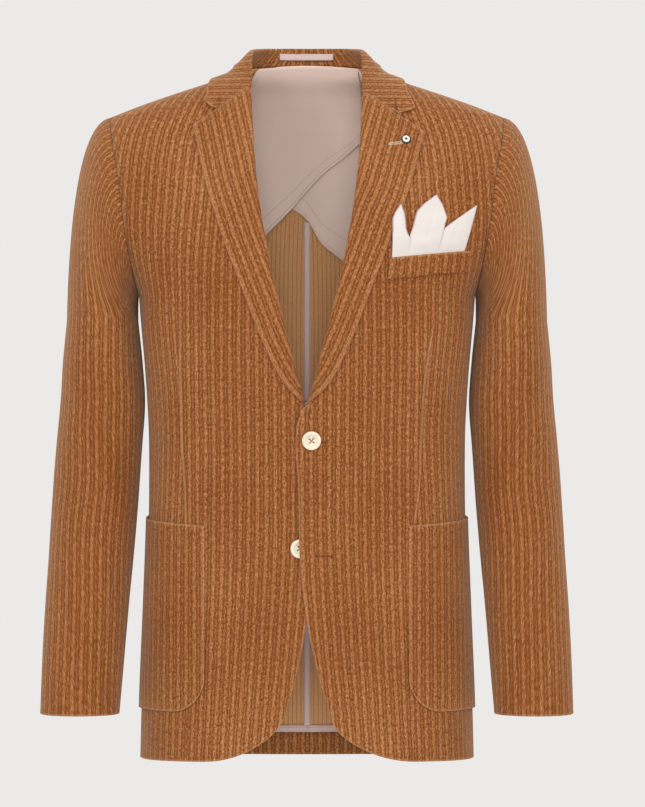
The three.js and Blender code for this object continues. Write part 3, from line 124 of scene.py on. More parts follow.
CUTAWAY = {"left": {"x": 29.4, "z": -721, "sweep": 62}, "right": {"x": 26.5, "z": -716.6, "sweep": 58}}
LAP_OUT = table(
    "z out", (-700, 0), (-640, 1.4), (-600, 3.2), (-556, 5.6), (-532, 6.6), (-508, 5.6), (-460, 3.4),
    (-420, 3.6), (-395, 6.0), (-362, 6.4), (-325, 0),
)
LAP_FULL_TO_X, LAP_NONE_FROM_X = 16, 62
BODY_FOLDS = [
    dict(side="both", around=168, z=-330, run=105, half_width=17, out=-3.0, lean=-0.16),
    dict(side="both", around=205, z=-345, run=90, half_width=15, out=2.2, lean=-0.1),
    dict(side="left", around=62, z=-455, run=70, half_width=20, out=-1.8, lean=0.6),
    dict(side="right", around=70, z=-470, run=60, half_width=18, out=-1.6, lean=0.5),
    dict(side="left", around=150, z=-462, run=80, half_width=22, out=1.6, lean=0.25),
    dict(side="right", around=140, z=-450, run=90, half_width=22, out=1.8, lean=0.2),
    dict(side="both", around=255, z=-470, run=70, half_width=20, out=-2.4, lean=0.2),
    dict(side="both", around=330, z=-500, run=130, half_width=26, out=2.2, lean=0.05),
]


def armhole_depth(z, face):
    middle, half = (SHOULDER_Z + ARMPIT_Z) / 2, (SHOULDER_Z - ARMPIT_Z) / 2
    share = np.clip((z - middle) / half, -1, 1)
    return ARMHOLE_DEPTH[face] * np.sqrt(1 - share * share)


def ring_paths(face, samples=240):
    """Quarter rings of the body, close together, each with evenly spaced points from the middle."""
    turn = np.linspace(0, math.pi, 420)
    z = np.concatenate([np.arange(-776, 6, 0.7), ARMPIT_Z + (SHOULDER_Z - ARMPIT_Z) * (1 - np.cos(turn)) / 2,
                        [NECK_SIDE_Z, SHOULDER_Z + 0.01, ARMPIT_Z - 0.01]])
    z = np.unique(np.round(z, 5))
    depth, power = read(RINGS, face, z), read(RINGS, "power", z)
    half = np.full(z.shape, float(NECK_SIDE_X))
    seam = half.copy()
    on_shoulder = (z <= NECK_SIDE_Z) & (z > SHOULDER_Z)
    at_armhole = (z <= SHOULDER_Z) & (z > ARMPIT_Z)
    below = z <= ARMPIT_Z
    half[on_shoulder] = seam[on_shoulder] = read(SHOULDER_LINE, "x", z[on_shoulder])
    half[below] = seam[below] = read(SIDE_LINE, "x", z[below])
    seam[at_armhole] = read(ARMHOLE_LINE, "x", z[at_armhole])
    share = (armhole_depth(z, face) / depth) ** power
    half[at_armhole] = (seam / (1 - share) ** (1 / power))[at_armhole]
    end = np.arcsin(np.clip((seam / half) ** (power / 2), 0, 1))
    angle = end[:, None] * np.linspace(0, 1, 145)[None]
    facing = -1 if face == "front" else 1
    x = half[:, None] * np.sin(angle) ** (2 / power[:, None])
    y = facing * depth[:, None] * np.maximum(0, np.cos(angle)) ** (2 / power[:, None])
    step = np.hypot(np.diff(x, axis=1), np.diff(y, axis=1))
    length = np.concatenate([np.zeros((len(z), 1)), np.cumsum(step, axis=1)], axis=1)
    even = np.linspace(0, 1, samples + 1)
    xs = np.array([np.interp(even * l[-1], l, row) for l, row in zip(length, x)])
    ys = np.array([np.interp(even * l[-1], l, row) for l, row in zip(length, y)])
    return {"z": z, "x": xs, "y": ys, "length": length[:, -1], "samples": samples}


PATHS = {face: ring_paths(face) for face in ("front", "back")}


def ring_length(face, z):
    return np.interp(z, PATHS[face]["z"], PATHS[face]["length"])


def along_ring(face, z, along):
    """x and y at a height and a length from the middle of the front or the back."""
    path = PATHS[face]
    z, along = np.broadcast_arrays(np.asarray(z, float), np.asarray(along, float))
    i = np.clip(np.searchsorted(path["z"], z, side="right") - 1, 0, len(path["z"]) - 2)
    t = np.clip((z - path["z"][i]) / (path["z"][i + 1] - path["z"][i]), 0, 1)
    found = []
    for row in (i, i + 1):
        place = np.abs(along) / path["length"][row] * path["samples"]
        j = np.clip(place.astype(int), 0, path["samples"] - 1)
        s = place - j
        found.append([blend(path[k][row, j], path[k][row, j + 1], s) for k in ("x", "y")])
    x, y = blend(found[0][0], found[1][0], t), blend(found[0][1], found[1][1], t)
    return np.where(along < 0, -x, x), y


def length_at_x(face, z, x):
    """How far along its ring a place is, from its x."""
    path = PATHS[face]
    z, x = np.broadcast_arrays(np.asarray(z, float), np.asarray(x, float))
    even = np.linspace(0, 1, path["samples"] + 1)
    made = np.empty(z.size)
    for n, (height, own) in enumerate(zip(z.ravel(), x.ravel())):
        i = min(max(int(np.searchsorted(path["z"], height, side="right")) - 1, 0), len(path["z"]) - 2)
        t = (height - path["z"][i]) / (path["z"][i + 1] - path["z"][i])
        low = np.interp(abs(own), path["x"][i], even * path["length"][i])
        high = np.interp(abs(own), path["x"][i + 1], even * path["length"][i + 1])
        made[n] = math.copysign(blend(low, high, min(max(t, 0), 1)), own)
    return made.reshape(z.shape)


def stands_out(side, x, z, around):
    """How far the cloth stands out of its plain ring: folds, and the lap of the left front."""
    out = np.zeros(np.shape(x))
    for fold in BODY_FOLDS:
        if fold["side"] in ("both", side):
            down = (z - fold["z"]) / fold["run"]
            across = (around - fold["around"] - fold["lean"] * (z - fold["z"])) / fold["half_width"]
            out = out + fold["out"] * np.exp(-down * down - across * across)
    if side == "left":
        share = 1 - ease((x - LAP_FULL_TO_X) / (LAP_NONE_FROM_X - LAP_FULL_TO_X))
        out = out + np.where(around < LAP_NONE_FROM_X * 1.5, read(LAP_OUT, "out", z) * share, 0)
    return out


def body_point(side, z, around):
    z, around = np.broadcast_arrays(np.asarray(z, float), np.asarray(around, float))
    front, back = ring_length("front", z), ring_length("back", z)
    fx, fy = along_ring("front", z, np.minimum(around, front))
    bx, by = along_ring("back", z, np.maximum(back - (around - front), 0))
    x, y = np.where(around <= front, fx, bx), np.where(around <= front, fy, by)
    reach = np.maximum(np.hypot(x, y), 1)
    out = stands_out(side, x, z, around)
    return np.stack([x * (1 + out * 0.25 / reach), y * (1 + out / reach), z], axis=-1)


def front_at(side, x, z):
    return body_point(side, z, length_at_x("front", z, x))


def back_point(side, z, from_middle):
    z, from_middle = np.broadcast_arrays(np.asarray(z, float), np.asarray(from_middle, float))
    whole = ring_length("front", z) + ring_length("back", z)
    made = body_point(side, z, whole - np.abs(from_middle))
    made[..., 0] = np.where(from_middle < 0, -made[..., 0], made[..., 0])
    return made


def normals_of(surface, a, b, step_a, step_b, towards):
    """Unit normals by small steps both ways, on the side of the given direction."""
    along_a = surface(a + step_a, b) - surface(a - step_a, b)
    along_b = surface(a, b + step_b) - surface(a, b - step_b)
    normal = unit(np.cross(along_a, along_b))
    same = np.sum(normal * towards, axis=-1, keepdims=True)
    return np.where(same < 0, -normal, normal)


def body_normal(side, z, around, span=0.9):
    low, around = np.broadcast_arrays(np.clip(z, -774, -3), np.asarray(around, float))
    here = body_point(side, low, around)
    towards = np.concatenate([here[..., :2], np.full(here.shape[:-1] + (1,), 20.0)], axis=-1)
    return normals_of(lambda a, b: body_point(side, a, b), low, around, span, span, towards)


def front_normal(side, x, z):
    return body_normal(side, z, length_at_x("front", z, x))


ROLL_RADIUS = 4.3
ROLL_END_Z = {"left": -373, "right": -374}


def front_edge_x(side, z):
    """Where the front ends towards the middle: the roll line above, the free edge below."""
    rolled = read(ROLL_LINE, "x", z) + ROLL_RADIUS + 3.4 * ease((z + 26) / 14)
    free = read(FREE_EDGE[side], "x", z)
    return blend(rolled, free, ease((ROLL_END_Z[side] - z) / 14))


def row_lengths(grid):
    step = np.linalg.norm(np.diff(grid, axis=1), axis=-1)
    return np.concatenate([np.zeros((len(grid), 1)), np.cumsum(step, axis=1)], axis=1)


def column_lengths(grid):
    return row_lengths(grid.transpose(1, 0, 2)).T


def edge_distance(grid, free):
    """How far each point lies from the free edges: l, r, t and b are the grid's sides."""
    across, down = row_lengths(grid), column_lengths(grid)
    far = np.full(across.shape, 60.0)
    sides = {"l": across, "r": across[:, -1:] - across, "t": down, "b": down[-1:] - down}
    for name in free:
        far = np.minimum(far, sides[name])
    return far


def wall_mesh(name, outer, inner, u, v, free="", extra=None, bulge=0.3):
    """A closed wall of cloth from two grids, with soft rounded edges, in metres. It has a UV map
    in metres of cloth, u across the wales, and the distance from the free edges in mm."""
    rows, columns = outer.shape[:2]
    index = np.arange(rows * columns).reshape(rows, columns)
    sheet = rows * columns
    loop = np.concatenate([index[0, :-1], index[:-1, -1], index[-1, :0:-1], index[:0:-1, 0]])
    flat_outer, flat_inner = outer.reshape(-1, 3), inner.reshape(-1, 3)
    middle = (flat_outer[loop] + flat_inner[loop]) / 2
    inwards = np.zeros_like(outer)
    inwards[:, 0] += unit(outer[:, 0] - outer[:, 1])
    inwards[:, -1] += unit(outer[:, -1] - outer[:, -2])
    inwards[0] += unit(outer[0] - outer[1])
    inwards[-1] += unit(outer[-1] - outer[-2])
    thick = np.linalg.norm(flat_outer[loop] - flat_inner[loop], axis=-1, keepdims=True)
    middle = middle + unit(inwards.reshape(-1, 3)[loop]) * thick * bulge
    points = np.concatenate([flat_outer, flat_inner, middle]) / 1000
    a, b = index[:-1, :-1].ravel(), index[1:, :-1].ravel()
    c, d = index[1:, 1:].ravel(), index[:-1, 1:].ravel()
    faces = [np.stack([a, b, c, d], 1), np.stack([a, d, c, b], 1) + sheet]
    rim = np.arange(len(loop)) + 2 * sheet
    nxt, rim_next = np.roll(loop, -1), np.roll(rim, -1)
    faces.append(np.stack([loop, nxt, rim_next, rim], 1))
    faces.append(np.stack([rim, rim_next, nxt + sheet, loop + sheet], 1))
    quads = np.concatenate(faces)
    corners = points[quads]
    faced = np.cross(corners[:, 1], corners[:, 2]) + np.cross(corners[:, 2], corners[:, 3])
    volume = np.sum(corners[:, 0] * faced)
    if volume < 0:
        quads = quads[:, ::-1]
    mesh = bpy.data.meshes.new(name)
    mesh.vertices.add(len(points))
    mesh.vertices.foreach_set("co", points.ravel())
    mesh.loops.add(quads.size)
    mesh.loops.foreach_set("vertex_index", quads.ravel().astype(np.int32))
    mesh.polygons.add(len(quads))
    mesh.polygons.foreach_set("loop_start", (np.arange(len(quads)) * 4).astype(np.int32))
    mesh.polygons.foreach_set("use_smooth", np.ones(len(quads), bool))
    inside = np.zeros(len(quads), np.int32)
    inside[len(faces[0]):len(faces[0]) * 2] = 1
    mesh.polygons.foreach_set("material_index", inside)
    uv = np.stack([u.ravel(), v.ravel()], 1)
    uv = np.concatenate([uv, uv, uv[loop]]) / 1000
    layer = mesh.uv_layers.new(name="cloth")
    layer.data.foreach_set("uv", uv[quads.ravel()].ravel().astype(np.float32))
    values = {"edge": edge_distance(outer, free), **(extra or {})}
    for key, value in values.items():
        value = value.ravel()
        attribute = mesh.attributes.new(key, "FLOAT", "POINT")
        attribute.data.foreach_set("value", np.concatenate([value, value, value[loop]]).astype(np.float32))
    mesh.update(calc_edges=True)
    mesh.validate()
    piece = bpy.data.objects.new(name, mesh)
    bpy.context.scene.collection.objects.link(piece)
    return piece


def on_side(grid, side):
    """Own coordinates turned to the model's: the right side is the mirror image."""
    return grid if side == "left" else grid * np.array([-1.0, 1.0, 1.0])


def finish_sheet(piece, outer, node, materials):
    """Gives a piece its materials, hangs it from the root and hides the CAD part. It works out
    the cut's box, at least a centimetre each way, and its area, but nothing uses them."""
    for material in materials:
        piece.data.materials.append(material)
    if len(materials) == 1:
        piece.data.polygons.foreach_set("material_index", np.zeros(len(piece.data.polygons), np.int32))
    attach(piece, "root")
    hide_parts(node)
    a, b, c, d = outer[:-1, :-1], outer[1:, :-1], outer[1:, 1:], outer[:-1, 1:]
    area = (np.linalg.norm(np.cross(b - a, c - a), axis=-1).sum()
            + np.linalg.norm(np.cross(c - a, d - a), axis=-1).sum()) / 2e6
    width = max(float(row_lengths(outer)[:, -1].max()) / 1000, 0.01)
    length = max(float(column_lengths(outer)[-1].max()) / 1000, 0.01)
    area = min(float(area), width * length)
    return piece


def body_heights(step=4.5):
    """Heights of the panels' rows, close together where the armhole turns."""
    shoulder = np.linspace(NECK_SIDE_Z, SHOULDER_Z, 14)
    turn = np.linspace(0, math.pi, 52)[1:]
    armhole = ARMPIT_Z + (SHOULDER_Z - ARMPIT_Z) * (1 + np.cos(turn)) / 2
    body = np.arange(ARMPIT_Z - step, -634, -step)
    return np.concatenate([shoulder, armhole, body])


HEM_ROWS = 26
FRONT_WIDTH = 150
GRAIN = table("z shift", (-760, -26), (-700, -17), (-640, -9), (-560, -2), (-500, 0), (-236, 0), (-152, 7),
              (-91, 14), (-60, 24), (-25, 40), (0, 48))
GRAIN_FADE = 95
DART = {
    "right": table("z x", (-512, 129.8), (-485.6, 131), (-463, 131.9), (-423, 134.6), (-396, 135.5),
                   (-374.8, 135.5), (-334, 137), (-310, 136.7), (-283, 137)),
    "left": table("z x", (-513.7, 115.5), (-455.4, 121.9), (-423, 122.7), (-398.9, 124.2), (-366.4, 125.9),
                  (-338.9, 129.2), (-310.3, 133), (-278.4, 139.7)),
}
INTAKE = table("z mm", (-520, 3), (-480, 6), (-415, 9.5), (-360, 7), (-310, 2.2), (-283, 0), (-270, 0))


def front_hem(side, share):
    corner = CUTAWAY[side]
    left = np.clip(1 - share * FRONT_WIDTH / corner["sweep"], 0, 1)
    low = blend(FRONT_HEM_Z, SIDE_HEM_Z, ease(share))
    return low + (corner["z"] - low) * blend(left**2.2, 1 - np.sqrt(1 - left * left), 0.4)


def front_panel(side, columns=50):
    heights = body_heights()
    share = np.linspace(0, 1, columns + 1)[None]
    below = np.linspace(0, 1, HEM_ROWS + 1)[1:, None]
    inner_z = np.concatenate([heights, blend(heights[-1], CUTAWAY[side]["z"], below[:, 0])])[:, None]
    z = np.concatenate([np.repeat(heights[:, None], columns + 1, 1),
                        blend(heights[-1], front_hem(side, share), below)])
    start = length_at_x("front", inner_z, front_edge_x(side, inner_z))
    start_here = length_at_x("front", z[:, 0], front_edge_x(side, inner_z[:, 0]))[:, None]
    start = np.where(z < heights[-1], start_here, start)
    around = blend(start, ring_length("front", z) - HALF_SEAM, share)
    outer = body_point(side, z, around)
    normal = body_normal(side, z, around)
    return z, around, outer, outer - normal * CLOTH


class Value:
    """A socket in an expression: sums and products of values add their Math nodes."""

    def __init__(self, nodes, socket):
        self.nodes, self.socket = nodes, socket

    def maths(self, operation, *others, clamp=False):
        node = self.nodes.tree.nodes.new("ShaderNodeMath")
        node.operation, node.use_clamp = operation, clamp
        for slot, value in zip(node.inputs, (self, *others)):
            self.nodes.join(value, slot)
        return Value(self.nodes, node.outputs[0])

    def __add__(self, other): return self.maths("ADD", other)
    def __mul__(self, other): return self.maths("MULTIPLY", other)
    def __sub__(self, other): return self.maths("SUBTRACT", other)
    def __truediv__(self, other): return self.maths("DIVIDE", other)
    def __rsub__(self, other): return (self * -1) + other
    def __neg__(self): return self * -1
    __radd__, __rmul__ = __add__, __mul__

    def size(self): return self.maths("ABSOLUTE")
    def part(self): return self.maths("FRACT")
    def clipped(self): return self.maths("ADD", 0, clamp=True)
    def above(self, limit): return self.maths("GREATER_THAN", limit)
    def most(self, other): return self.maths("MAXIMUM", other)

    def eased(self, low, high):
        """0 up to low and 1 from high, or the other way round if low is the larger."""
        node = self.nodes.tree.nodes.new("ShaderNodeMapRange")
        node.interpolation_type = "SMOOTHSTEP"
        flipped = low > high
        self.nodes.join(self, node.inputs["Value"])
        node.inputs["From Min"].default_value = min(low, high)
        node.inputs["From Max"].default_value = max(low, high)
        node.inputs["To Min"].default_value = 1 if flipped else 0
        node.inputs["To Max"].default_value = 0 if flipped else 1
        return Value(self.nodes, node.outputs["Result"])


class Finish:
    """A material's tree, with one method that adds any node."""

    def __init__(self, name, roughness=0.9, **constants):
        self.material = bpy.data.materials.new(name)
        self.material.use_nodes = True
        self.tree = self.material.node_tree
        self.shader = self.tree.nodes["Principled BSDF"]
        self.shader.inputs["Roughness"].default_value = roughness
        named = {slot.name.lower().replace(" ", "_"): slot for slot in self.shader.inputs}
        for key, value in constants.items():
            named[key].default_value = value

    def join(self, value, slot):
        if isinstance(value, Value):
            self.tree.links.new(value.socket, slot)
        else:
            slot.default_value = value

    def node(self, kind, output=0, settings=None, **inputs):
        node = self.tree.nodes.new("ShaderNode" + kind)
        for key, value in (settings or {}).items():
            if key == "stops":
                ramp = node.color_ramp.elements
                while len(ramp) < len(value):
                    ramp.new(0.5)
                for element, (place, colour) in zip(ramp, value):
                    element.position, element.color = place, (*colour, 1)
            else:
                setattr(node, key, value)
        for key, value in inputs.items():
            numbered = key[0] == "i" and key[1:].isdigit()
            slot = node.inputs[int(key[1:]) if numbered else key.replace("_", " ")]
            self.join(value, slot)
        return Value(self, node.outputs[output])

    def cloth_uv(self):
        where = self.node("UVMap", settings={"uv_map": "cloth"})
        parts = self.tree.nodes.new("ShaderNodeSeparateXYZ")
        self.tree.links.new(where.socket, parts.inputs[0])
        return Value(self, parts.outputs[0]), Value(self, parts.outputs[1])

    def mixed(self, a, b, share, blend_type="MIX"):
        node = self.tree.nodes.new("ShaderNodeMix")
        node.data_type, node.blend_type = "RGBA", blend_type
        for slot, value in ((node.inputs[0], share), (node.inputs[6], a), (node.inputs[7], b)):
            self.join(value if isinstance(value, Value) or slot == node.inputs[0] else (*value, 1), slot)
        return Value(self, node.outputs[2])

    def attribute(self, name):
        return self.node("Attribute", output=2, settings={"attribute_name": name})

    def vector(self, x, y, z=0.0):
        return self.node("CombineXYZ", X=x, Y=y, Z=z)

    def noise(self, where, scale, detail=2.0, rough=0.5):
        return self.node("TexNoise", Vector=where, Scale=scale, Detail=detail, Roughness=rough)

    def use(self, colour, height=None, strength=1.0, distance=0.001, roughness=None):
        self.join(colour, self.shader.inputs["Base Color"])
        if roughness is not None:
            self.join(roughness, self.shader.inputs["Roughness"])
        if height is not None:
            bump = self.node("Bump", Height=height, Strength=strength, Distance=distance)
            self.tree.links.new(bump.socket, self.shader.inputs["Normal"])
        return self.material


def linear(red, green, blue):
    """A display colour, 0 to 255, as the linear values that a shader takes."""
    shares = [value / 255 for value in (red, green, blue)]
    return tuple(s / 12.92 if s <= 0.04045 else ((s + 0.055) / 1.055) ** 2.4 for s in shares)


WALE_REPEAT = 9.65
PILE = linear(149, 88, 40)
# Light pile colour: the lighter tufts, and also painted highlights on the wales, lapel, collar and dart.
LIGHT_TUFT_AND_HIGHLIGHT = linear(196, 143, 96)
PILE_DEEP = linear(128, 70, 28)
# Groove colour: painted shade for the grooves and beside the dart, and also the darker gaps between tufts.
GROOVE_SHADE_AND_DARK_FLECK = linear(89, 42, 15)


def corduroy(name, darted=False, light=0.0, worn_and_highlit_edges=True):
    """Cut-pile corduroy: a wide wale, a groove, a narrow wale and a groove in each repeat. The
    pile is flecked, with short lighter tufts and darker gaps along every wale. The grooves are
    darkened with painted shade and the raised wales lightened with a painted highlight. The light
    setting adds a painted highlight over the whole piece, the edge rim is partly wear and partly
    painted highlight, and a dart gets a painted highlight along it with painted shade beside it."""
    f = Finish(name, roughness=0.85, sheen_weight=0.42, sheen_roughness=0.4, specular_ior_level=0.1)
    f.shader.inputs["Sheen Tint"].default_value = (*linear(238, 204, 170), 1)
    u, v = f.cloth_uv()
    drift = f.noise(f.vector(u * 30, v * 11), 1.0, 1.0) - 0.5
    tufts = f.noise(f.vector(u * 760, v * 430), 1.0, 3.0, 0.65)
    dashes = f.noise(f.vector(u * 520, v * 210, 3.0), 1.0, 2.0, 0.6)
    ribs = f.noise(f.vector(u * 30, v * 330, 7.0), 1.0, 2.0, 0.6)
    cloudy = f.noise(f.vector(u * 8, v * 5, 11.0), 1.0, 3.0, 0.55)
    across = u * 1000 + drift * 1.6 + (dashes - 0.5) * 1.1
    if darted:
        line = f.attribute("dart")
        across = across + f.attribute("intake") * line.above(0)
    from_wide = ((across / WALE_REPEAT).part() - 0.5).size()
    wide = from_wide.eased(0.31, 0.1)
    narrow = (0.5 - from_wide).eased(0.17, 0.03)
    relief = wide + narrow * 0.62
    fleck = (tufts - 0.5) * 4.6 + (dashes - 0.5) * 3.0
    pile = f.mixed(PILE_DEEP, PILE, (0.55 + (ribs - 0.5) * 1.6 + (cloudy - 0.5) * 1.2).clipped())
    # Lighter tufts and random cloudy patches, plus a painted highlight on the raised wales and, through
    # light, over the whole piece.
    tufts_and_highlight = fleck * 0.5 + relief * 0.2 + 0.06 + light + (cloudy - 0.5) * 0.7
    pile = f.mixed(pile, LIGHT_TUFT_AND_HIGHLIGHT, tufts_and_highlight.clipped())
    pile = f.mixed(pile, GROOVE_SHADE_AND_DARK_FLECK, (fleck * -0.55 - 0.12).clipped())
    # Painted shade: the grooves between the wales are darkened by the wale relief.
    colour = f.mixed(GROOVE_SHADE_AND_DARK_FLECK, pile, (relief * 0.5 + 0.47 + fleck * 0.16).clipped())
    height = relief * 0.8 + fleck * 0.14 + (ribs - 0.5) * 0.3
    if worn_and_highlit_edges:
        # A lighter rim along the free edges: partly wear, partly a painted highlight where the pile rolls
        # over the edge.
        rim = f.attribute("edge").eased(2.2, 0.5) * (tufts * 1.4 - 0.2).clipped()
        colour = f.mixed(colour, linear(204, 152, 108), rim * 0.62)
    if darted:
        crease = line.size()
        shown = f.attribute("dart_on")
        # Along the dart: a painted highlight on the seam and painted shade in a line beside it.
        colour = f.mixed(colour, LIGHT_TUFT_AND_HIGHLIGHT, crease.eased(2.2, 0.6) * shown * tufts * 0.7)
        colour = f.mixed(colour, GROOVE_SHADE_AND_DARK_FLECK, (crease - 1.9).size().eased(1.0, 0.2) * shown * 0.4)
        height = height - crease.eased(1.6, 0.2) * shown * 1.2
    return f.use(colour, height, strength=0.75, distance=0.0009, roughness=0.76 + tufts * 0.24)


def wrong_side(name):
    """The unlined reverse of the corduroy: a plain weave with the wales showing as faint stripes."""
    f = Finish(name, roughness=0.9, sheen_weight=0.15, specular_ior_level=0.15)
    u, v = f.cloth_uv()
    place = (u * 1000 / WALE_REPEAT * 2).part()
    stripe = (place - 0.5).size().eased(0.14, 0.03)
    yarn = f.noise(f.vector(u * 700, v * 260), 1.0, 2.0, 0.6)
    colour = f.mixed(linear(184, 132, 86), linear(216, 168, 118), yarn)
    colour = f.mixed(colour, linear(150, 100, 60), stripe * 0.6)
    return f.use(colour, yarn * 0.5 - stripe, strength=0.5, distance=0.0006)


def sleeve_lining(name):
    """Smooth twill lining with a soft shine."""
    f = Finish(name, roughness=0.5, sheen_weight=0.2, specular_ior_level=0.3)
    u, v = f.cloth_uv()
    twill = ((u + v) * 2200).part().eased(0.2, 0.7)
    cloudy = f.noise(f.vector(u * 40, v * 25), 1.0, 2.0)
    colour = f.mixed(linear(186, 164, 154), linear(204, 184, 174), (cloudy * 0.8 + twill * 0.2).clipped())
    return f.use(colour, twill, strength=0.15, distance=0.0002)


GRAIN_SWINGS_BELOW_Z = -500
DART_ENDS = dict(top_z=-284, top_fade=30, foot_z=-512, foot_fade=14)
DART_TOP_Z = -283
reverse_cloth = wrong_side("corduroy reverse")
lining_inside = sleeve_lining("smooth lining")
for side in ("left", "right"):
    z, around, outer, inner = front_panel(side)
    fade = np.exp(-np.maximum(around, 0) / GRAIN_FADE)
    swing = np.where(z < GRAIN_SWINGS_BELOW_Z, fade, 1.0)
    u = around + read(GRAIN, "shift", z) * swing
    dart_x = read(DART[side], "x", z)
    dart_line = outer[..., 0] - dart_x
    dart_ends = (ease((z - DART_ENDS["foot_z"]) / DART_ENDS["foot_fade"])
                 * ease((DART_ENDS["top_z"] - z) / DART_ENDS["top_fade"]))
    front = wall_mesh(f"front_{side}_cloth", on_side(outer, side), on_side(inner, side), u, -z, free="lb",
                      extra={"dart": dart_line, "dart_on": dart_ends,
                             "intake": read(INTAKE, "mm", z) * (z < DART_TOP_Z)})
    finish_sheet(front, outer, f"front_{side}",
                 [corduroy(f"front {side} corduroy", darted=True), lining_inside])


# The two halves of the back, from the centre seam to the side seams, unlined below the
# shoulders, so that the reverse of the corduroy shows inside.
def back_panel(side, columns=50):
    heights = body_heights()
    share = np.linspace(0, 1, columns + 1)[None]
    below = np.linspace(0, 1, HEM_ROWS + 1)[1:, None]
    top = NECK_SIDE_Z * share**2
    rise = np.linspace(0, 1, 5)[1:-1, None]
    second = np.full(share.shape, heights[3])
    z = np.concatenate([top, blend(top, second, rise), np.repeat(heights[3:, None], columns + 1, 1),
                        blend(heights[-1], blend(BACK_HEM_Z, SIDE_HEM_Z, share**2), below)])
    along = blend(HALF_SEAM, ring_length("back", z) - HALF_SEAM, share)
    outer = back_point(side, z, along)
    whole = ring_length("front", z) + ring_length("back", z)
    return z, along, outer, outer - body_normal(side, z, whole - along) * CLOTH


for side in ("left", "right"):
    z, along, outer, inner = back_panel(side)
    u = along + read(GRAIN, "shift", np.maximum(z, -500)) * 0.4
    back = wall_mesh(f"back_{side}_cloth", on_side(outer, side), on_side(inner, side), u, -z, free="b")
    finish_sheet(back, outer, f"back_{side}",
                 [corduroy(f"back {side} corduroy", worn_and_highlit_edges=False), reverse_cloth])


# The sleeves: each is a top sleeve and a narrower under sleeve, eased into the armhole with
# a soft natural head, bent a little at the elbow and open at the cuff.
SLEEVE_RINGS = table(
    "z outer inner middle half_depth",
    (-285, 264, 185.6, 0, 67), (-330, 268.5, 181, 2, 65), (-372, 271, 178.4, 2, 62),
    (-416, 275, 180.8, -1, 60), (-460, 278.6, 183.6, -5, 58), (-504, 281, 186.8, -11, 56),
    (-548, 283.2, 190.3, -20, 54), (-592, 285.8, 194.2, -31, 51), (-636, 287.8, 197.6, -43, 48.5),
    (-680, 289, 201, -54, 46.5), (-712, 289.6, 203.6, -62, 45),
)
SLEEVE_FOLDS = [
    dict(z=-440, angle=70, run=34, spread=34, out=-3.2, lean=0.55),
    dict(z=-478, angle=85, run=26, spread=40, out=-2.6, lean=-0.4),
    dict(z=-410, angle=130, run=34, spread=36, out=2.0, lean=0.5),
    dict(z=-520, angle=120, run=40, spread=34, out=2.2, lean=0.4),
    dict(z=-600, angle=60, run=60, spread=30, out=-1.6, lean=0.2),
    dict(z=-465, angle=255, run=40, spread=40, out=-2.6, lean=-0.4),
    dict(z=-330, angle=320, run=60, spread=30, out=-1.8, lean=0.1),
]
CROWN_REACH, CROWN_FALL = 0.5, -0.17
HEAD_FOOT_Z, CUFF_Z = -285, -712
ARM_STEPS, UNDER_FROM, UNDER_TO = 20, 7, 14


def sleeve_ring(z, angle):
    outer, inner = read(SLEEVE_RINGS, "outer", z), read(SLEEVE_RINGS, "inner", z)
    out = np.zeros(np.shape(angle))
    turn = np.mod(np.degrees(angle) + 360, 360)
    for fold in SLEEVE_FOLDS:
        across = (turn - fold["angle"] - fold["lean"] * (z - fold["z"])) / fold["spread"]
        down = (z - fold["z"]) / fold["run"]
        out = out + fold["out"] * np.exp(-down * down - across * across)
    return np.stack([(outer + inner) / 2 + ((outer - inner) / 2 + out) * np.cos(angle),
                     read(SLEEVE_RINGS, "middle", z)
                     - (read(SLEEVE_RINGS, "half_depth", z) + out) * np.sin(angle),
                     z * np.ones(np.shape(angle))], axis=-1)


def armhole_point(angle):
    middle, half = (SHOULDER_Z + ARMPIT_Z) / 2, (SHOULDER_Z - ARMPIT_Z) / 2
    z = middle + half * np.cos(angle)
    y = np.where(np.sin(angle) >= 0, -armhole_depth(z, "front"), armhole_depth(z, "back"))
    x = read(ARMHOLE_LINE, "x", z) + GAP + 0.25
    return np.stack([x, y, z - GAP * (1 - np.cos(angle)) / 2], axis=-1)


def sleeve_point(angle, row):
    angle, row = np.broadcast_arrays(np.asarray(angle, float), np.asarray(row, float))
    tube = sleeve_ring(blend(HEAD_FOOT_Z, CUFF_Z, np.maximum(row - 1, 0)), angle)
    start, end = armhole_point(angle), sleeve_ring(np.full(angle.shape, float(HEAD_FOOT_Z)), angle)
    chord = np.linalg.norm(end - start, axis=-1, keepdims=True)
    up = ((1 + np.cos(angle)) / 2)[..., None]
    leave = unit(blend(np.array([0.12, 0, -1]), np.array([1, 0, CROWN_FALL]), up))
    t = np.clip(row, 0, 1)[..., None]
    head = (start * (2 * t**3 - 3 * t**2 + 1)
            + leave * (t**3 - 2 * t**2 + t) * blend(0.95, CROWN_REACH, up) * chord
            + end * (3 * t**2 - 2 * t**3)
            + np.array([0.02, 0, -1]) * (t**3 - t**2) * chord * blend(0.9, 1.1, up))
    return np.where((row > 1)[..., None], tube, head)


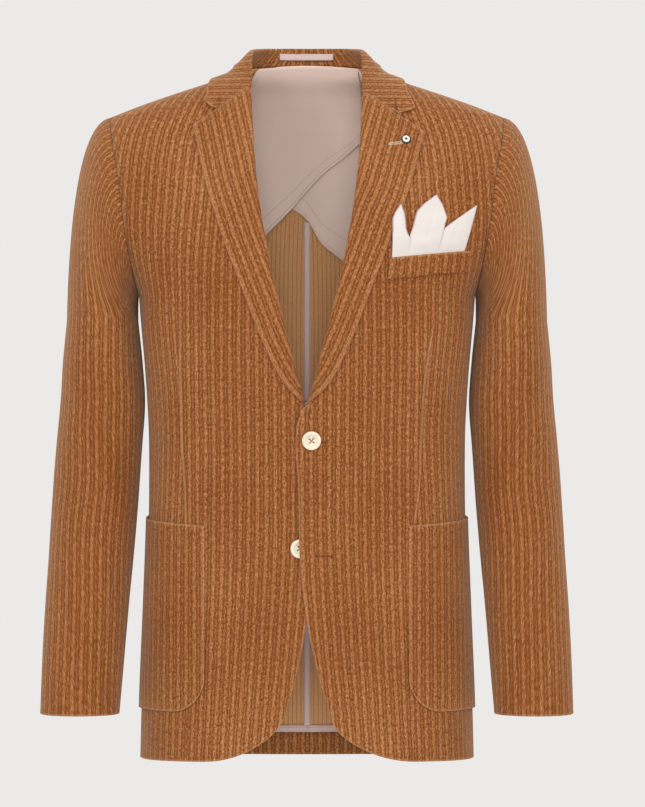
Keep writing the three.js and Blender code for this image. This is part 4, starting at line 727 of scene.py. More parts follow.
def sleeve_panel(from_step, to_step):
    seam = HALF_SEAM / 60
    turns = 2 * math.pi / ARM_STEPS
    angle = np.linspace(from_step * turns + seam, to_step * turns - seam, (to_step - from_step) * 6 + 1)[None]
    row = np.concatenate([np.linspace(0, 1, 44), np.linspace(1, 2, 90)[1:]])[:, None]
    outer = sleeve_point(angle, row)
    middle = sleeve_point(angle + math.pi, np.maximum(row, 1))
    away = outer - middle
    away[..., 2] = np.where(row < 1, 60 * np.cos(angle), 0)
    normal = normals_of(sleeve_point, angle + 0 * row, np.clip(row, 0.004, 1.996) + 0 * angle,
                        0.006, 0.004, away)
    closer = np.linspace(0, from_step * turns + seam, 40)[None]
    start = row_lengths(sleeve_point(closer, row))[:, -1:]
    u = row_lengths(outer) + start * np.sign(from_step)
    return outer, outer - normal * CLOTH, u, column_lengths(outer)


for side in ("left", "right"):
    for name, steps in (("top_sleeve", (UNDER_TO - ARM_STEPS, UNDER_FROM)),
                        ("under_sleeve", (UNDER_FROM, UNDER_TO))):
        outer, inner, u, v = sleeve_panel(*steps)
        sleeve = wall_mesh(f"{name}_{side}_cloth", on_side(outer, side), on_side(inner, side), u, v, free="b")
        finish_sheet(sleeve, outer, f"{name}_{side}",
                     [corduroy(f"{name} {side} corduroy"), lining_inside])


# The lapels: the facing of corduroy turned out over each front, rolling softly at the crease
# and lying on the chest, with its wales parallel to the outer edge. Notched at the collar.
LAPEL_EDGE = table(
    "z x", (-388, -5), (-350, 26), (-312, 45.5), (-266, 63.5), (-230, 77.5), (-190, 92), (-145, 106.5),
    (-110, 116.5), (-84, 124.5), (-74, 126),
)
LAPEL = {
    "left": {"gorge_z": -42, "tip_x": 127, "tip_z": -83, "fuller": 3,
             "edge_end_x": 0.5, "edge_end_z": -388.5},
    "right": {"gorge_z": -35, "tip_x": 122.5, "tip_z": -75.5, "fuller": 0,
              "edge_end_x": 3, "edge_end_z": -391},
}
LAPEL_TIP_SHARE = 0.2
LAPEL_SPRING = 2.2
LAPEL_LOOSE_TOP, LAPEL_LOOSE_FOOT = 0.7, 0.2
CURL_FROM = -62


def lapel_edge_x(side, z):
    return read(LAPEL_EDGE, "x", z) + LAPEL[side]["fuller"] * ease((z + 190) / 45)


def lapel_ends(side, share):
    cut = LAPEL[side]
    roll_z = blend(cut["gorge_z"], ROLL_END_Z[side], share)
    edge_z = blend(cut["tip_z"], cut["edge_end_z"], share)
    tip_end = lapel_edge_x(side, blend(cut["tip_z"], cut["edge_end_z"], LAPEL_TIP_SHARE))
    near_tip = blend(cut["tip_x"], tip_end, share / LAPEL_TIP_SHARE)
    free = np.where(share < LAPEL_TIP_SHARE, near_tip, lapel_edge_x(side, edge_z))
    edge_x = blend(free, cut["edge_end_x"], ease((share - 0.9) / 0.1))
    return front_edge_x(side, roll_z), roll_z, edge_x, edge_z


def lapel_lift(share, across):
    soft = LAPEL_SPRING * ease(share * 4) * 4 * np.maximum(0, across) * (1 - across) ** 2
    loose = blend(LAPEL_LOOSE_TOP, LAPEL_LOOSE_FOOT, ease(share * 2))
    return ROLL_RADIUS - CLOTH / 2 + soft + loose * ease(across * 4)


def lapel_point(side, share, across):
    roll_x, roll_z, edge_x, edge_z = lapel_ends(side, share)
    x, z = blend(roll_x, edge_x, across), blend(roll_z, edge_z, across)
    normal = front_normal(side, x, z)
    return front_at(side, x, z) + normal * lapel_lift(share, across)[..., None], normal


def lapel_panel(side, shares, curl_steps=9, across_steps=26):
    """Outer and inner grids."""
    shares = np.asarray(shares, float)[:, None]
    roll_x, roll_z = lapel_ends(side, shares)[:2]
    edge, normal = front_at(side, roll_x, roll_z), front_normal(side, roll_x, roll_z)
    centre = edge - normal * CLOTH / 2
    outward = unit(front_at(side, roll_x + 1, roll_z) - edge)
    start = blend(CURL_FROM, 0, ease(shares))
    turn = np.radians(blend(start, 90, np.arange(curl_steps)[None] / curl_steps))[..., None]
    spoke = -outward * np.cos(turn) + normal * np.sin(turn)
    point, face = lapel_point(side, shares, np.linspace(0, 1, across_steps)[None])
    outer = np.concatenate([centre + spoke * ROLL_RADIUS, point], axis=1)
    inner = np.concatenate([centre + spoke * (ROLL_RADIUS - CLOTH), point - face * CLOTH], axis=1)
    return outer, inner


def distance_to_line(points, line):
    """Distance in the front plane from each point to a line of points, signed by its side."""
    start, step = line[:-1], np.diff(line, axis=0)
    apart = points[..., None, :] - start
    share = np.clip(np.sum(apart * step, -1) / np.sum(step * step, -1), 0, 1)
    gap = np.linalg.norm(apart - share[..., None] * step, axis=-1)
    k = np.argmin(gap, axis=-1)
    near = np.take_along_axis(gap, k[..., None], -1)[..., 0]
    chosen, way = start[k], step[k]
    cross = way[..., 0] * (points[..., 1] - chosen[..., 1]) - way[..., 1] * (points[..., 0] - chosen[..., 0])
    return near * np.sign(cross)


for side in ("left", "right"):
    outer, inner = lapel_panel(side, np.linspace(0, 1, 84))
    rim = outer[:, -1][:, [0, 2]]
    rim = np.concatenate([[rim[0] + (rim[0] - rim[8]) * 4], rim, [rim[-1] + (rim[-1] - rim[-6]) * 4]])
    flat = distance_to_line(outer[..., [0, 2]], rim)
    u = np.abs(flat)
    curl = row_lengths(outer)[:, 9:10] - row_lengths(outer)
    u = np.where(curl > 0, u[:, 9:10] + curl, u)
    lapel = wall_mesh(f"lapel_{side}_cloth", on_side(outer, side), on_side(inner, side), u + 2.2,
                      column_lengths(outer), free="rt")
    # The lapel's corduroy has a painted highlight over it (light=0.04), so it shows lighter than the fronts.
    finish_sheet(lapel, outer, f"lapel_{side}",
                 [corduroy(f"lapel {side} corduroy", light=0.04)])


# The collar: a stand that rises round the neck and a fall that turns down over it, cut with
# the wales square to the fold, and joined to each lapel along the gorge.
def keys(step, *points):
    return (step, *[value for point in points for value in point])


COLLAR = table(
    "step foldx foldy foldz fallx fally fallz edgex edgey edgez",
    keys(0, (0, 76, 20.5), (0, 87, -2), (0, 95, -26)),
    keys(0.22, (30, 68, 20), (37, 80, -3), (47, 88, -26)),
    keys(0.44, (50, 46, 18), (65, 56, -4), (84, 62, -25)),
    keys(0.62, (59, 12, 14), (80, 12, -5), (100, 10, -20.5)),
    keys(0.78, (60.5, -14, 6.5), (85, -17, -15), (104, -18, -28.5)),
    keys(0.9, (60, -38, -12.5), (88, -42, -35), (108, -44, -37)),
    keys(1, (59.5, -60, -31), (93.5, -70, -55.2), (111.5, -66, -44.5)),
)
NOTCH_ACROSS = 0.58
GORGE_GAP = 1.15
GORGE_LEAD_STEP, GORGE_LEAD_REACH = 0.9, 70
FRONT_DROP = {"left": -7, "right": 0}
COLLAR_TIP = {"left": np.array([6, 0, -2.5]), "right": np.zeros(3)}
FOLD_RADIUS = 4
COLLAR_LIFT = 1.9
SHOULDER_STEP = 0.62
SHOULDER_REST_TO_Z = -125


def shoulder_points():
    """Points and normals of the shoulders and the chest, which the collar rests on."""
    found = []
    for panel in (back_panel("right", 40), front_panel("right", 40)):
        grid = panel[2][:46]
        found.append(grid.reshape(-1, 3))
    points = np.concatenate(found)
    normals = []
    for panel in (back_panel("right", 40), front_panel("right", 40)):
        normals.append(unit(panel[2] - panel[3])[:46].reshape(-1, 3))
    normals = np.concatenate(normals)
    keep = points[:, 2] > SHOULDER_REST_TO_Z
    return points[keep], normals[keep]


REST_POINTS, REST_NORMALS = shoulder_points()


def rest_on_shoulder(point, clearance):
    """Moves points out of the shoulder until they clear it."""
    own = point * np.where(point[..., :1] < 0, np.array([-1.0, 1, 1]), 1.0)
    flat = own.reshape(-1, 3)
    nearest = np.array([np.argmin(np.sum((REST_POINTS - p) ** 2, axis=1)) for p in flat])
    normal = REST_NORMALS[nearest]
    above = np.sum((flat - REST_POINTS[nearest]) * normal, axis=1, keepdims=True)
    moved = flat + normal * np.maximum(clearance - above, 0)
    moved = moved.reshape(point.shape)
    return moved * np.where(point[..., :1] < 0, np.array([-1.0, 1, 1]), 1.0)


def stand_foot(step):
    if step <= SHOULDER_STEP:
        share = step / SHOULDER_STEP
        z = NECK_SIDE_Z * share * share
        along = ring_length("back", z) * share
        whole = ring_length("front", z) + ring_length("back", z)
        normal = body_normal("right", z, whole - along)
        flat = unit(np.array([normal[0], normal[1], 0]))
        return back_point("right", z, along) - flat * CLOTH + np.array([0, 0, GAP + 0.6])
    share = (step - SHOULDER_STEP) / (1 - SHOULDER_STEP)
    z = blend(NECK_SIDE_Z, -40, ease((share - 0.62) / 0.38))
    start, end = length_at_x("front", z, NECK_SIDE_X - 1), length_at_x("front", z, front_edge_x("right", z))
    p = body_point("right", z, blend(start, end, ease(share * 1.6)))
    past = ease((share - 0.5) / 0.2)
    return p + np.array([-blend(1.4, 3.9, past), blend(0, 3.2, past), blend(1.2, 0, past)])


def collar_section(step, side):
    drop = np.array([0, 0, FRONT_DROP[side] * ease((step - 0.9) / 0.1)])
    foot = stand_foot(step) + drop
    fold, fall, edge = [
        np.array([read(COLLAR, name + axis, step) for axis in "xyz"]) + drop
        for name in ("fold", "fall", "edge")]
    edge = edge + COLLAR_TIP[side] * ease((step - 0.9) / 0.1)
    out = unit(np.array([fall[0] - fold[0], fall[1] - fold[1], 0]))
    radius = blend(FOLD_RADIUS, ROLL_RADIUS, ease((step - 0.7) / 0.3))
    down = np.array([0, 0, radius])
    return np.array([foot, fold - out * radius * 0.1 - down, fold + out * radius * 0.6,
                     fold + out * radius * 1.9 - down, fall, edge])


def through(points, at):
    """A smooth curve through points, at several places from 0 to the last one."""
    last = len(points) - 1
    k = np.minimum(np.floor(at).astype(int), last - 1)
    t = (at - k)[:, None]
    a, b, c, d = points[np.maximum(k - 1, 0)], points[k], points[k + 1], points[np.minimum(k + 2, last)]
    return 0.5 * (2 * b + (c - a) * t + (2 * a - 5 * b + 4 * c - d) * t**2 + (3 * b - a - 3 * c + d) * t**3)


COLLAR_AT = np.concatenate([np.linspace(0, 2, 13), np.linspace(2, 3, 8)[1:], np.linspace(3, 4, 9)[1:],
                            np.linspace(4, 5, 11)[1:]])
GORGE_COLUMNS = np.array([0, 0.5, 1, 2, 3, 3.33, 3.67, 4])


def gorge_end(side):
    """Where the collar meets the top of the lapel: over the same roll and out to the notch."""
    roll_x, roll_z, edge_x, edge_z = [float(value) for value in lapel_ends(side, np.array(0.0))]
    raised = GORGE_GAP * unit(np.array([roll_z - edge_z, 0, edge_x - roll_x]))
    curl_outer, curl_inner = lapel_panel(side, [0.0], curl_steps=3, across_steps=2)
    across = np.array([0.0, 0.2, 0.4, NOTCH_ACROSS])
    point, face = lapel_point(side, np.zeros(4), across)
    made = []
    for curl, flat in ((curl_outer[0], point), (curl_inner[0], point - face * CLOTH)):
        lead = [curl[0], (curl[0] + curl[1]) / 2, curl[1], curl[2]]
        keyed = np.array([*lead, *flat]) + raised
        made.append(np.stack([np.interp(COLLAR_AT, GORGE_COLUMNS, keyed[:, i]) for i in range(3)], axis=-1))
    return made


def collar_panel(steps):
    ends = {side: gorge_end(side) for side in ("left", "right")}
    on_gorge = COLLAR_AT <= 4
    rows = []
    for turn in np.concatenate([-steps[:0:-1], steps]):
        side, step = ("right" if turn < 0 else "left"), abs(turn)
        row = through(collar_section(step, side), COLLAR_AT)
        share = float(ease((step - 0.84) / 0.16))
        if share > 0:
            lead = through(collar_section(GORGE_LEAD_STEP, side), COLLAR_AT)
            back = unit(lead - ends[side][0]) * (1 - step) * GORGE_LEAD_REACH
            row = np.where(on_gorge[:, None], blend(row, ends[side][0] + back, share), row)
        rows.append(on_side(row, side))
    grid = np.array(rows)
    falls = (COLLAR_AT > 2)[None, :, None] * ease((2 - grid[..., 2:]) / 10)
    grid = blend(grid, rest_on_shoulder(grid, CLOTH + COLLAR_LIFT), falls)
    normal = unit(np.cross(np.gradient(grid, axis=0), np.gradient(grid, axis=1)))
    if normal[len(rows) // 2, -1, 1] < 0:
        normal = -normal
    inner = grid - normal * CLOTH
    inner = blend(inner, rest_on_shoulder(inner, COLLAR_LIFT), falls)
    for side, row in (("right", 0), ("left", -1)):
        grid[row, on_gorge] = on_side(ends[side][0], side)[on_gorge]
        inner[row, on_gorge] = on_side(ends[side][1], side)[on_gorge]
    return grid, inner


collar_steps = np.concatenate([np.linspace(0, 0.84, 46)[:-1], np.linspace(0.84, 1, 20)])
outer, inner = collar_panel(collar_steps)
mid_fall = int(np.argmin(np.abs(COLLAR_AT - 3.4)))
round_neck = column_lengths(outer)[:, mid_fall:mid_fall + 1]
WALE_LEVELS = dict(lean=1.4, from_step=0.5, over=0.25)
middle = len(outer) // 2
turn = np.concatenate([-collar_steps[:0:-1], collar_steps])[:, None]
round_neck = np.abs(round_neck - round_neck[middle])
at_shoulder = middle + int(np.argmin(np.abs(collar_steps - SHOULDER_STEP)))
level = round_neck[at_shoulder] + WALE_LEVELS["lean"] * (outer[at_shoulder, mid_fall, 2] - outer[..., 2])
levelled = ease((np.abs(turn) - WALE_LEVELS["from_step"]) / WALE_LEVELS["over"])
u = np.sign(turn) * blend(round_neck, level, levelled)
collar = wall_mesh("collar_cloth", outer, inner, u, row_lengths(outer), free="rtb")
# The collar's corduroy has a painted highlight over it (light=0.05).
finish_sheet(collar, outer, "collar", [corduroy("collar corduroy", light=0.05)])


# The patch pockets: squares of corduroy with rounded lower corners, sewn on by hand from the
# front of the hip round past the side seam, and slightly full.
POCKET = dict(front_x=110, width=165, top_front=-508, top_side=-498, bottom=-708, corner=38)
POCKET_LIFT, POCKET_FULLNESS = 0.9, 1.0
for side in ("left", "right"):
    share = np.linspace(0, 1, 61)
    share = (share - 0.032 * np.sin(4 * math.pi * share) - 0.06 * np.sin(2 * math.pi * share))[None]
    down = np.linspace(0, 1, 52)[:, None]
    into = np.clip(1 - POCKET["width"] * np.minimum(share, 1 - share) / POCKET["corner"], 0, 1)
    lift = POCKET["corner"] * (1 - np.sqrt(1 - into * into * 0.99))
    top = blend(POCKET["top_front"], POCKET["top_side"], share)
    z = blend(top, POCKET["bottom"] + lift, down)
    around = length_at_x("front", z, np.full(z.shape, POCKET["front_x"])) + share * POCKET["width"]
    normal = body_normal(side, z, around)
    full = np.sin(math.pi * share) * np.sin(math.pi * (down * 8 + 1) / 10)
    outer = body_point(side, z, around) + normal * (CLOTH + POCKET_LIFT + POCKET_FULLNESS * full)[..., None]
    u = share * POCKET["width"] + 3.4 + 0 * z
    pocket = wall_mesh(f"pocket_{side}_cloth", on_side(outer, side),
                       on_side(outer - normal * CLOTH, side), u, -z,
                       free="lrtb")
    finish_sheet(pocket, outer, f"pocket_{side}",
                 [corduroy(f"pocket {side} corduroy")])


# The chest pocket's welt: a folded band of corduroy across the left chest, a little higher
# at the side and sewn down at both ends.
WELT = dict(x0=90, x1=176, z0=-219.5, z1=-210.5, height=22)
WELT_LIFT, WELT_LEAN, WELT_LENGTH, WELT_WALE_SHIFT = 0.8, 2.6, 88, 1.5
share = np.linspace(0, 1, 40)[None]
down = np.linspace(0, 1, 12)[:, None]
x = blend(WELT["x0"], WELT["x1"], share) - down * WELT_LEAN
z = blend(WELT["z0"], WELT["z1"], share) - down * WELT["height"]
normal = front_normal("left", x, z)
outer = front_at("left", x, z) + normal * (CLOTH + WELT_LIFT)
welt = wall_mesh("chest_welt_cloth", outer, outer - normal * CLOTH,
                 share * WELT_LENGTH + 0 * z + WELT_WALE_SHIFT, -z + 0 * x, free="lrt")
finish_sheet(welt, outer, "chest_welt", [corduroy("welt corduroy")])


# The pocket square: fine white cotton with a narrow mauve hem, folded to three points. It is
# sewn into the chest pocket, with the middle point in front.
PETALS = {
    "left": (0.9, table("share lx lz rx rz", (0, 92.1, -224, 109.5, -222.3), (0.45, 91.8, -200, 110.2, -200),
                        (0.7, 91.5, -184, 106.4, -189), (0.85, 91.6, -177, 105.6, -178),
                        (0.95, 95, -169.5, 104.3, -170), (1, 99.6, -163, 101.4, -163))),
    "right": (0.9, table("share lx lz rx rz", (0, 139, -220, 169.4, -214.5), (0.35, 143.5, -201, 174, -197),
                         (0.6, 147.5, -187, 178, -184), (0.8, 158, -179, 181.3, -172.5),
                         (1, 182.2, -161.8, 183.6, -162.4))),
    "middle": (2.1, table("share lx lz rx rz", (0, 108.5, -222.5, 140.7, -219.7),
                          (0.35, 108.6, -200.8, 144.8, -197),
                          (0.55, 112.5, -190, 148.5, -183), (0.75, 118, -169, 151.2, -175.5),
                          (0.9, 126, -160.5, 146.5, -162), (1, 138.2, -151.5, 140.2, -151.6))),
}
SQUARE_THICK = 0.5


def fine_cotton(name):
    f = Finish(name, roughness=0.8, sheen_weight=0.15, specular_ior_level=0.2)
    u, v = f.cloth_uv()
    weave = f.noise(f.vector(u * 2600, v * 2600), 1.0, 1.0)
    soft = f.noise(f.vector(u * 30, v * 60), 1.0, 2.0)
    white = f.mixed(linear(204, 198, 192), linear(217, 211, 206), soft)
    hem = f.attribute("edge").eased(1.5, 0.9) * f.attribute("tip").eased(0.52, 0.6)
    colour = f.mixed(white, linear(176, 142, 146), hem * 0.9)
    return f.use(colour, weave * 0.2 + hem, strength=0.3, distance=0.0004)


def joined(name, pieces):
    """Several meshes as one piece."""
    bpy.ops.object.select_all(action="DESELECT")
    for piece in pieces:
        piece.select_set(True)
    bpy.context.view_layer.objects.active = pieces[0]
    bpy.ops.object.join()
    pieces[0].name = pieces[0].data.name = name
    return pieces[0]


PETAL_OVER_LAPEL, PETAL_PUFF = 4.2, 1.3
petals = []
petal_grids = []
for number, (name, (lift, line)) in enumerate(PETALS.items()):
    share = np.linspace(0, 1, 34)[:, None]
    across = np.linspace(0, 1, 18)[None]
    lx, lz, rx, rz = [np.interp(share, line["share"], line[key]) for key in ("lx", "lz", "rx", "rz")]
    x, z = blend(lx, rx, across), blend(lz, rz, across)
    over_lapel = PETAL_OVER_LAPEL * ease((share - 0.15) / 0.4) if name == "left" else 0
    puffed = (lift + PETAL_PUFF * np.sin(math.pi * across)) * ease((share - 0.08) / 0.25)
    out = SQUARE_THICK + 0.1 + over_lapel + puffed
    crease = np.exp(-((across - 0.35 - 0.1 * number) / 0.06) ** 2) * 0.5 * ease(share * 2)
    normal = front_normal("left", x, z)
    outer = front_at("left", x, z) + normal * (out - crease)[..., None]
    petals.append(wall_mesh(f"square_{name}", outer, outer - normal * SQUARE_THICK, x, z, free="lrt",
                            extra={"tip": share + 0 * x}))
    petal_grids.append(outer)
square = joined("pocket_square_cloth", petals)
square.data.polygons.foreach_set("material_index", np.zeros(len(square.data.polygons), np.int32))
square.data.materials.append(fine_cotton("white cotton with a mauve hem"))
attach(square, "root")
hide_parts("pocket_square")


# The half linings: two flaps of thin mauve cloth from the neck and shoulders, with a bound
# lower edge. The right one lies over the left one at the middle of the back.
LINING_NECK = dict(z=1.8, drop=4.5, reach=55)
LINING_EDGE = {
    "right": table("x z", (-62, -80), (-40, -100), (-20, -115.7), (0, -136), (17, -156), (47, -186.5),
                   (90, -226), (150, -258)),
    "left": table("x z", (-36, -135), (-17, -156), (0, -170), (15, -195), (29, -207), (41, -216), (90, -240),
                  (150, -262)),
}
LINING_DEPTH = {"left": CLOTH + 2.0, "right": CLOTH + 1.0 + 4.0}
LINING_THICK = 1.0


def thin_lining(name, hem_line=True):
    f = Finish(name, roughness=0.55, sheen_weight=0.25, specular_ior_level=0.25)
    u, v = f.cloth_uv()
    weave = f.noise(f.vector(u * 1500, v * 1900), 1.0, 1.0)
    soft = f.noise(f.vector(u * 16, v * 7), 1.0, 2.0, 0.45)
    # The colour follows the soft folds of the bump: painted light on their crests and painted shade in their
    # troughs.
    colour = f.mixed(linear(214, 190, 178), linear(232, 209, 197), soft)
    height = soft * 1.6 + weave * 0.06
    if hem_line:
        edge = f.attribute("edge")
        hem = (edge - 4.6).size().eased(0.7, 0.1)
        colour = f.mixed(colour, linear(160, 132, 122), hem * 0.5)
        height = height - hem * 0.25 + edge.eased(5.0, 4.4) * 0.3
    return f.use(colour, height, strength=0.6, distance=0.0012)


lining_rows = {}
for side in ("left", "right"):
    line = LINING_EDGE[side]
    x = np.linspace(line["x"][0], line["x"][-1], 70)[None]
    reach = np.abs(x)
    shoulder = -6 - 0.356 * (reach - 40)
    near_neck = LINING_NECK["z"] - LINING_NECK["drop"] * (reach / LINING_NECK["reach"]) ** 2
    top = blend(near_neck, shoulder - 6, ease((reach - 58) / 16))
    down = np.linspace(0, 1, 60)[:, None]
    z = blend(top, read(line, "z", x), down)
    along = length_at_x("back", z, x + 0 * z)
    whole = ring_length("front", z) + ring_length("back", z)
    normal = body_normal(side, z, whole - np.abs(along))
    normal[..., 0] = np.where(x < 0, -normal[..., 0], normal[..., 0])
    face = back_point(side, z, along)
    drape = 1.2 * np.sin(x / 17 + (0 if side == "left" else 1.3)) * down
    outer = face - normal * (LINING_DEPTH[side] + np.clip(drape, -0.4, 1.2))[..., None]
    inner = outer - normal * LINING_THICK
    lining_rows[side] = on_side(inner[-8], side), on_side(-normal[-8], side)
    lining = wall_mesh(f"half_lining_{side}_cloth", on_side(outer, side), on_side(inner, side), x + 0 * z, -z,
                       free="b")
    finish_sheet(lining, outer, f"half_lining_{side}", [thin_lining(f"half lining {side}")])


# The tape over the centre back seam, the tape along the hem, and the turned-up hem below it.
TAPE_HALF, TAPE_TOP_Z = 3.25, -172
HEM_TAPE_TOP_Z, HEM_TAPE_FOOT_Z = -737.5, -745.5


def seam_tape(name):
    f = Finish(name, roughness=0.5, sheen_weight=0.2, specular_ior_level=0.3)
    v = f.cloth_uv()[1]
    ribs = (v * 900).part().eased(0.2, 0.8)
    # Painted light and shade: lighter on the raised ribs and darker at the turned-under edges.
    raised = ribs * 0.6 + f.attribute("edge").eased(0.2, 1.6) * 0.3
    colour = f.mixed(linear(190, 166, 160), linear(216, 193, 186), raised)
    return f.use(colour, ribs, strength=0.2, distance=0.0002)


def inside_back(side, z, along, depth, thick):
    whole = ring_length("front", z) + ring_length("back", z)
    normal = body_normal(side, z, whole - np.abs(along))
    normal[..., 0] = np.where(along < 0, -normal[..., 0], normal[..., 0])
    outer = back_point(side, z, along) - normal * depth
    return outer, outer - normal * thick, normal


z = np.linspace(TAPE_TOP_Z, HEM_TAPE_TOP_Z + GAP, 130)[:, None] + np.zeros((1, 7))
along = np.linspace(-TAPE_HALF, TAPE_HALF, 7)[None] + 0 * z
outer, inner, normal = inside_back("left", z, along, CLOTH + GAP, 1.0)
tape_row = inner[:, 5], -normal[:, 5]
tape = wall_mesh("centre_seam_tape_cloth", outer, inner, along, -z, free="lr")
finish_sheet(tape, outer, "centre_seam_tape", [seam_tape("seam tape")])
hem_rows = {}
for side in ("left", "right"):
    for name, slot, top, foot, thick in (("hem_tape", "lining", HEM_TAPE_TOP_Z, HEM_TAPE_FOOT_Z, 1.0),
                                         ("back_hem", "corduroy", HEM_TAPE_FOOT_Z - GAP,
                                          BACK_HEM_Z + 0.4, CLOTH)):
        share = np.linspace(0, 1, 50)[None]
        z = np.linspace(top, foot, 8)[:, None] + (SIDE_HEM_Z - BACK_HEM_Z) * share**2
        along = blend(HALF_SEAM, ring_length("back", z) - HALF_SEAM, share)
        outer, inner, normal = inside_back("left", z, along, CLOTH + GAP, thick)
        if name == "hem_tape":
            hem_rows[side] = on_side(inner[2], side), on_side(-normal[2], side)
        strip = wall_mesh(f"{name}_{side}_cloth", on_side(outer, side), on_side(inner, side),
                          along, -z, free="tb")
        if slot == "lining":
            cloth = seam_tape(f"hem tape {side}")
        else:
            cloth = corduroy(f"hem turn-up {side}", worn_and_highlit_edges=False)
        held = "folded" if slot == "corduroy" else "stretched"
        finish_sheet(strip, outer, f"{name}_{side}", [cloth])


# The hanger loop: a folded strip of the lining, sewn across the inside of the collar stand
# at both ends and once in between.
LOOP = dict(x0=-30.4, x1=28.7, z0=6.9, z1=13.6, thick=1.2, bow=2.0)
stand = through(collar_section(0, "left"), COLLAR_AT)
stand_face = [through(collar_section(abs(t), "left"), COLLAR_AT) * np.array([math.copysign(1, t), 1, 1])
              for t in np.linspace(-0.35, 0.35, 71)]
stand_face = np.array(stand_face)[:, COLLAR_AT <= 1].reshape(-1, 3)


def stand_y(x, z):
    nearest = np.argmin((stand_face[:, 0] - x) ** 2 + (stand_face[:, 2] - z) ** 2)
    return stand_face[nearest, 1]


x = np.linspace(LOOP["x0"], LOOP["x1"], 41)[None]
z = np.linspace(LOOP["z1"], LOOP["z0"], 7)[:, None] + 0 * x
face_y = np.array([[stand_y(px, pz) for px, pz in zip(row_x, row_z)] for row_x, row_z in zip(x + 0 * z, z)])
face_y = np.poly1d(np.polyfit(x[0], face_y.min(axis=0), 4))(x) + 0 * z
share = (x - LOOP["x0"]) / (LOOP["x1"] - LOOP["x0"])
held = 1 - np.exp(-((share - 0.36) / 0.04) ** 2) * 0.5
y = face_y - GAP - 0.4 - LOOP["bow"] * np.sin(math.pi * share) * held
outer = np.stack([x + 0 * z, y - LOOP["thick"], z], axis=-1)
inner = outer + np.array([0, LOOP["thick"], 0])
loop = wall_mesh("hanger_loop_cloth", outer, inner, x + 0 * z, z, free="lrtb")
finish_sheet(loop, outer, "hanger_loop", [seam_tape("loop tape")])


# Threads: rows of stitches, each a short bead of thread laid along or across its row.
def named_input(tree, name, kind):
    return tree.interface.new_socket(name=name, in_out="INPUT", socket_type=kind)


def stitch_tree():
    tree = bpy.data.node_groups.new("row of stitches", "GeometryNodeTree")
    names = (("Path", "NodeSocketGeometry"), ("Pitch", "NodeSocketFloat"), ("Length", "NodeSocketFloat"),
             ("Width", "NodeSocketFloat"), ("Turn", "NodeSocketFloat"), ("Thread", "NodeSocketMaterial"))
    for name, kind in names:
        named_input(tree, name, kind)
    tree.interface.new_socket(name="Stitches", in_out="OUTPUT", socket_type="NodeSocketGeometry")
    new, link = tree.nodes.new, tree.links.new
    given, made = new("NodeGroupInput"), new("NodeGroupOutput")
    curve = new("GeometryNodeMeshToCurve")
    link(given.outputs["Path"], curve.inputs["Mesh"])
    even = new("GeometryNodeResampleCurve")
    even.mode = "LENGTH"
    link(curve.outputs["Curve"], even.inputs["Curve"])
    link(given.outputs["Pitch"], even.inputs["Length"])
    along = new("FunctionNodeAlignRotationToVector")
    along.axis = "X"
    link(new("GeometryNodeInputTangent").outputs[0], along.inputs["Vector"])
    face = new("GeometryNodeInputNamedAttribute")
    face.data_type = "FLOAT_VECTOR"
    face.inputs["Name"].default_value = "face"
    upright = new("FunctionNodeAlignRotationToVector")
    upright.axis, upright.pivot_axis = "Z", "X"
    link(along.outputs[0], upright.inputs["Rotation"])
    link(face.outputs["Attribute"], upright.inputs["Vector"])
    quarter = new("FunctionNodeAxisAngleToRotation")
    quarter.inputs["Axis"].default_value = (0, 0, 1)
    link(given.outputs["Turn"], quarter.inputs["Angle"])
    turned = new("FunctionNodeRotateRotation")
    turned.rotation_space = "LOCAL"
    link(upright.outputs[0], turned.inputs["Rotation"])
    link(quarter.outputs[0], turned.inputs["Rotate By"])
    bead = new("GeometryNodeMeshUVSphere")
    bead.inputs["Segments"].default_value = 8
    bead.inputs["Rings"].default_value = 6
    bead.inputs["Radius"].default_value = 0.5
    size = new("ShaderNodeCombineXYZ")
    for source, slot in (("Length", 0), ("Width", 1), ("Width", 2)):
        link(given.outputs[source], size.inputs[slot])
    sized = new("GeometryNodeTransform")
    link(bead.outputs["Mesh"], sized.inputs["Geometry"])
    link(size.outputs[0], sized.inputs["Scale"])
    smooth = new("GeometryNodeSetShadeSmooth")
    link(sized.outputs[0], smooth.inputs["Geometry"])
    placed = new("GeometryNodeInstanceOnPoints")
    link(even.outputs["Curve"], placed.inputs["Points"])
    link(smooth.outputs[0], placed.inputs["Instance"])
    link(turned.outputs[0], placed.inputs["Rotation"])
    real = new("GeometryNodeRealizeInstances")
    link(placed.outputs[0], real.inputs[0])
    coloured = new("GeometryNodeSetMaterial")
    link(real.outputs[0], coloured.inputs["Geometry"])
    link(given.outputs["Thread"], coloured.inputs["Material"])
    link(coloured.outputs[0], made.inputs[0])
    return tree


row_of_stitches = stitch_tree()


def thread(name, colour, darker):
    f = Finish(name, roughness=0.7, sheen_weight=0.2)
    twist = f.node("TexNoise", Vector=f.node("TexCoord", output=3), Scale=2500.0, Detail=1.0)
    return f.use(f.mixed(linear(*darker), linear(*colour), twist), twist, strength=0.4, distance=0.0002)


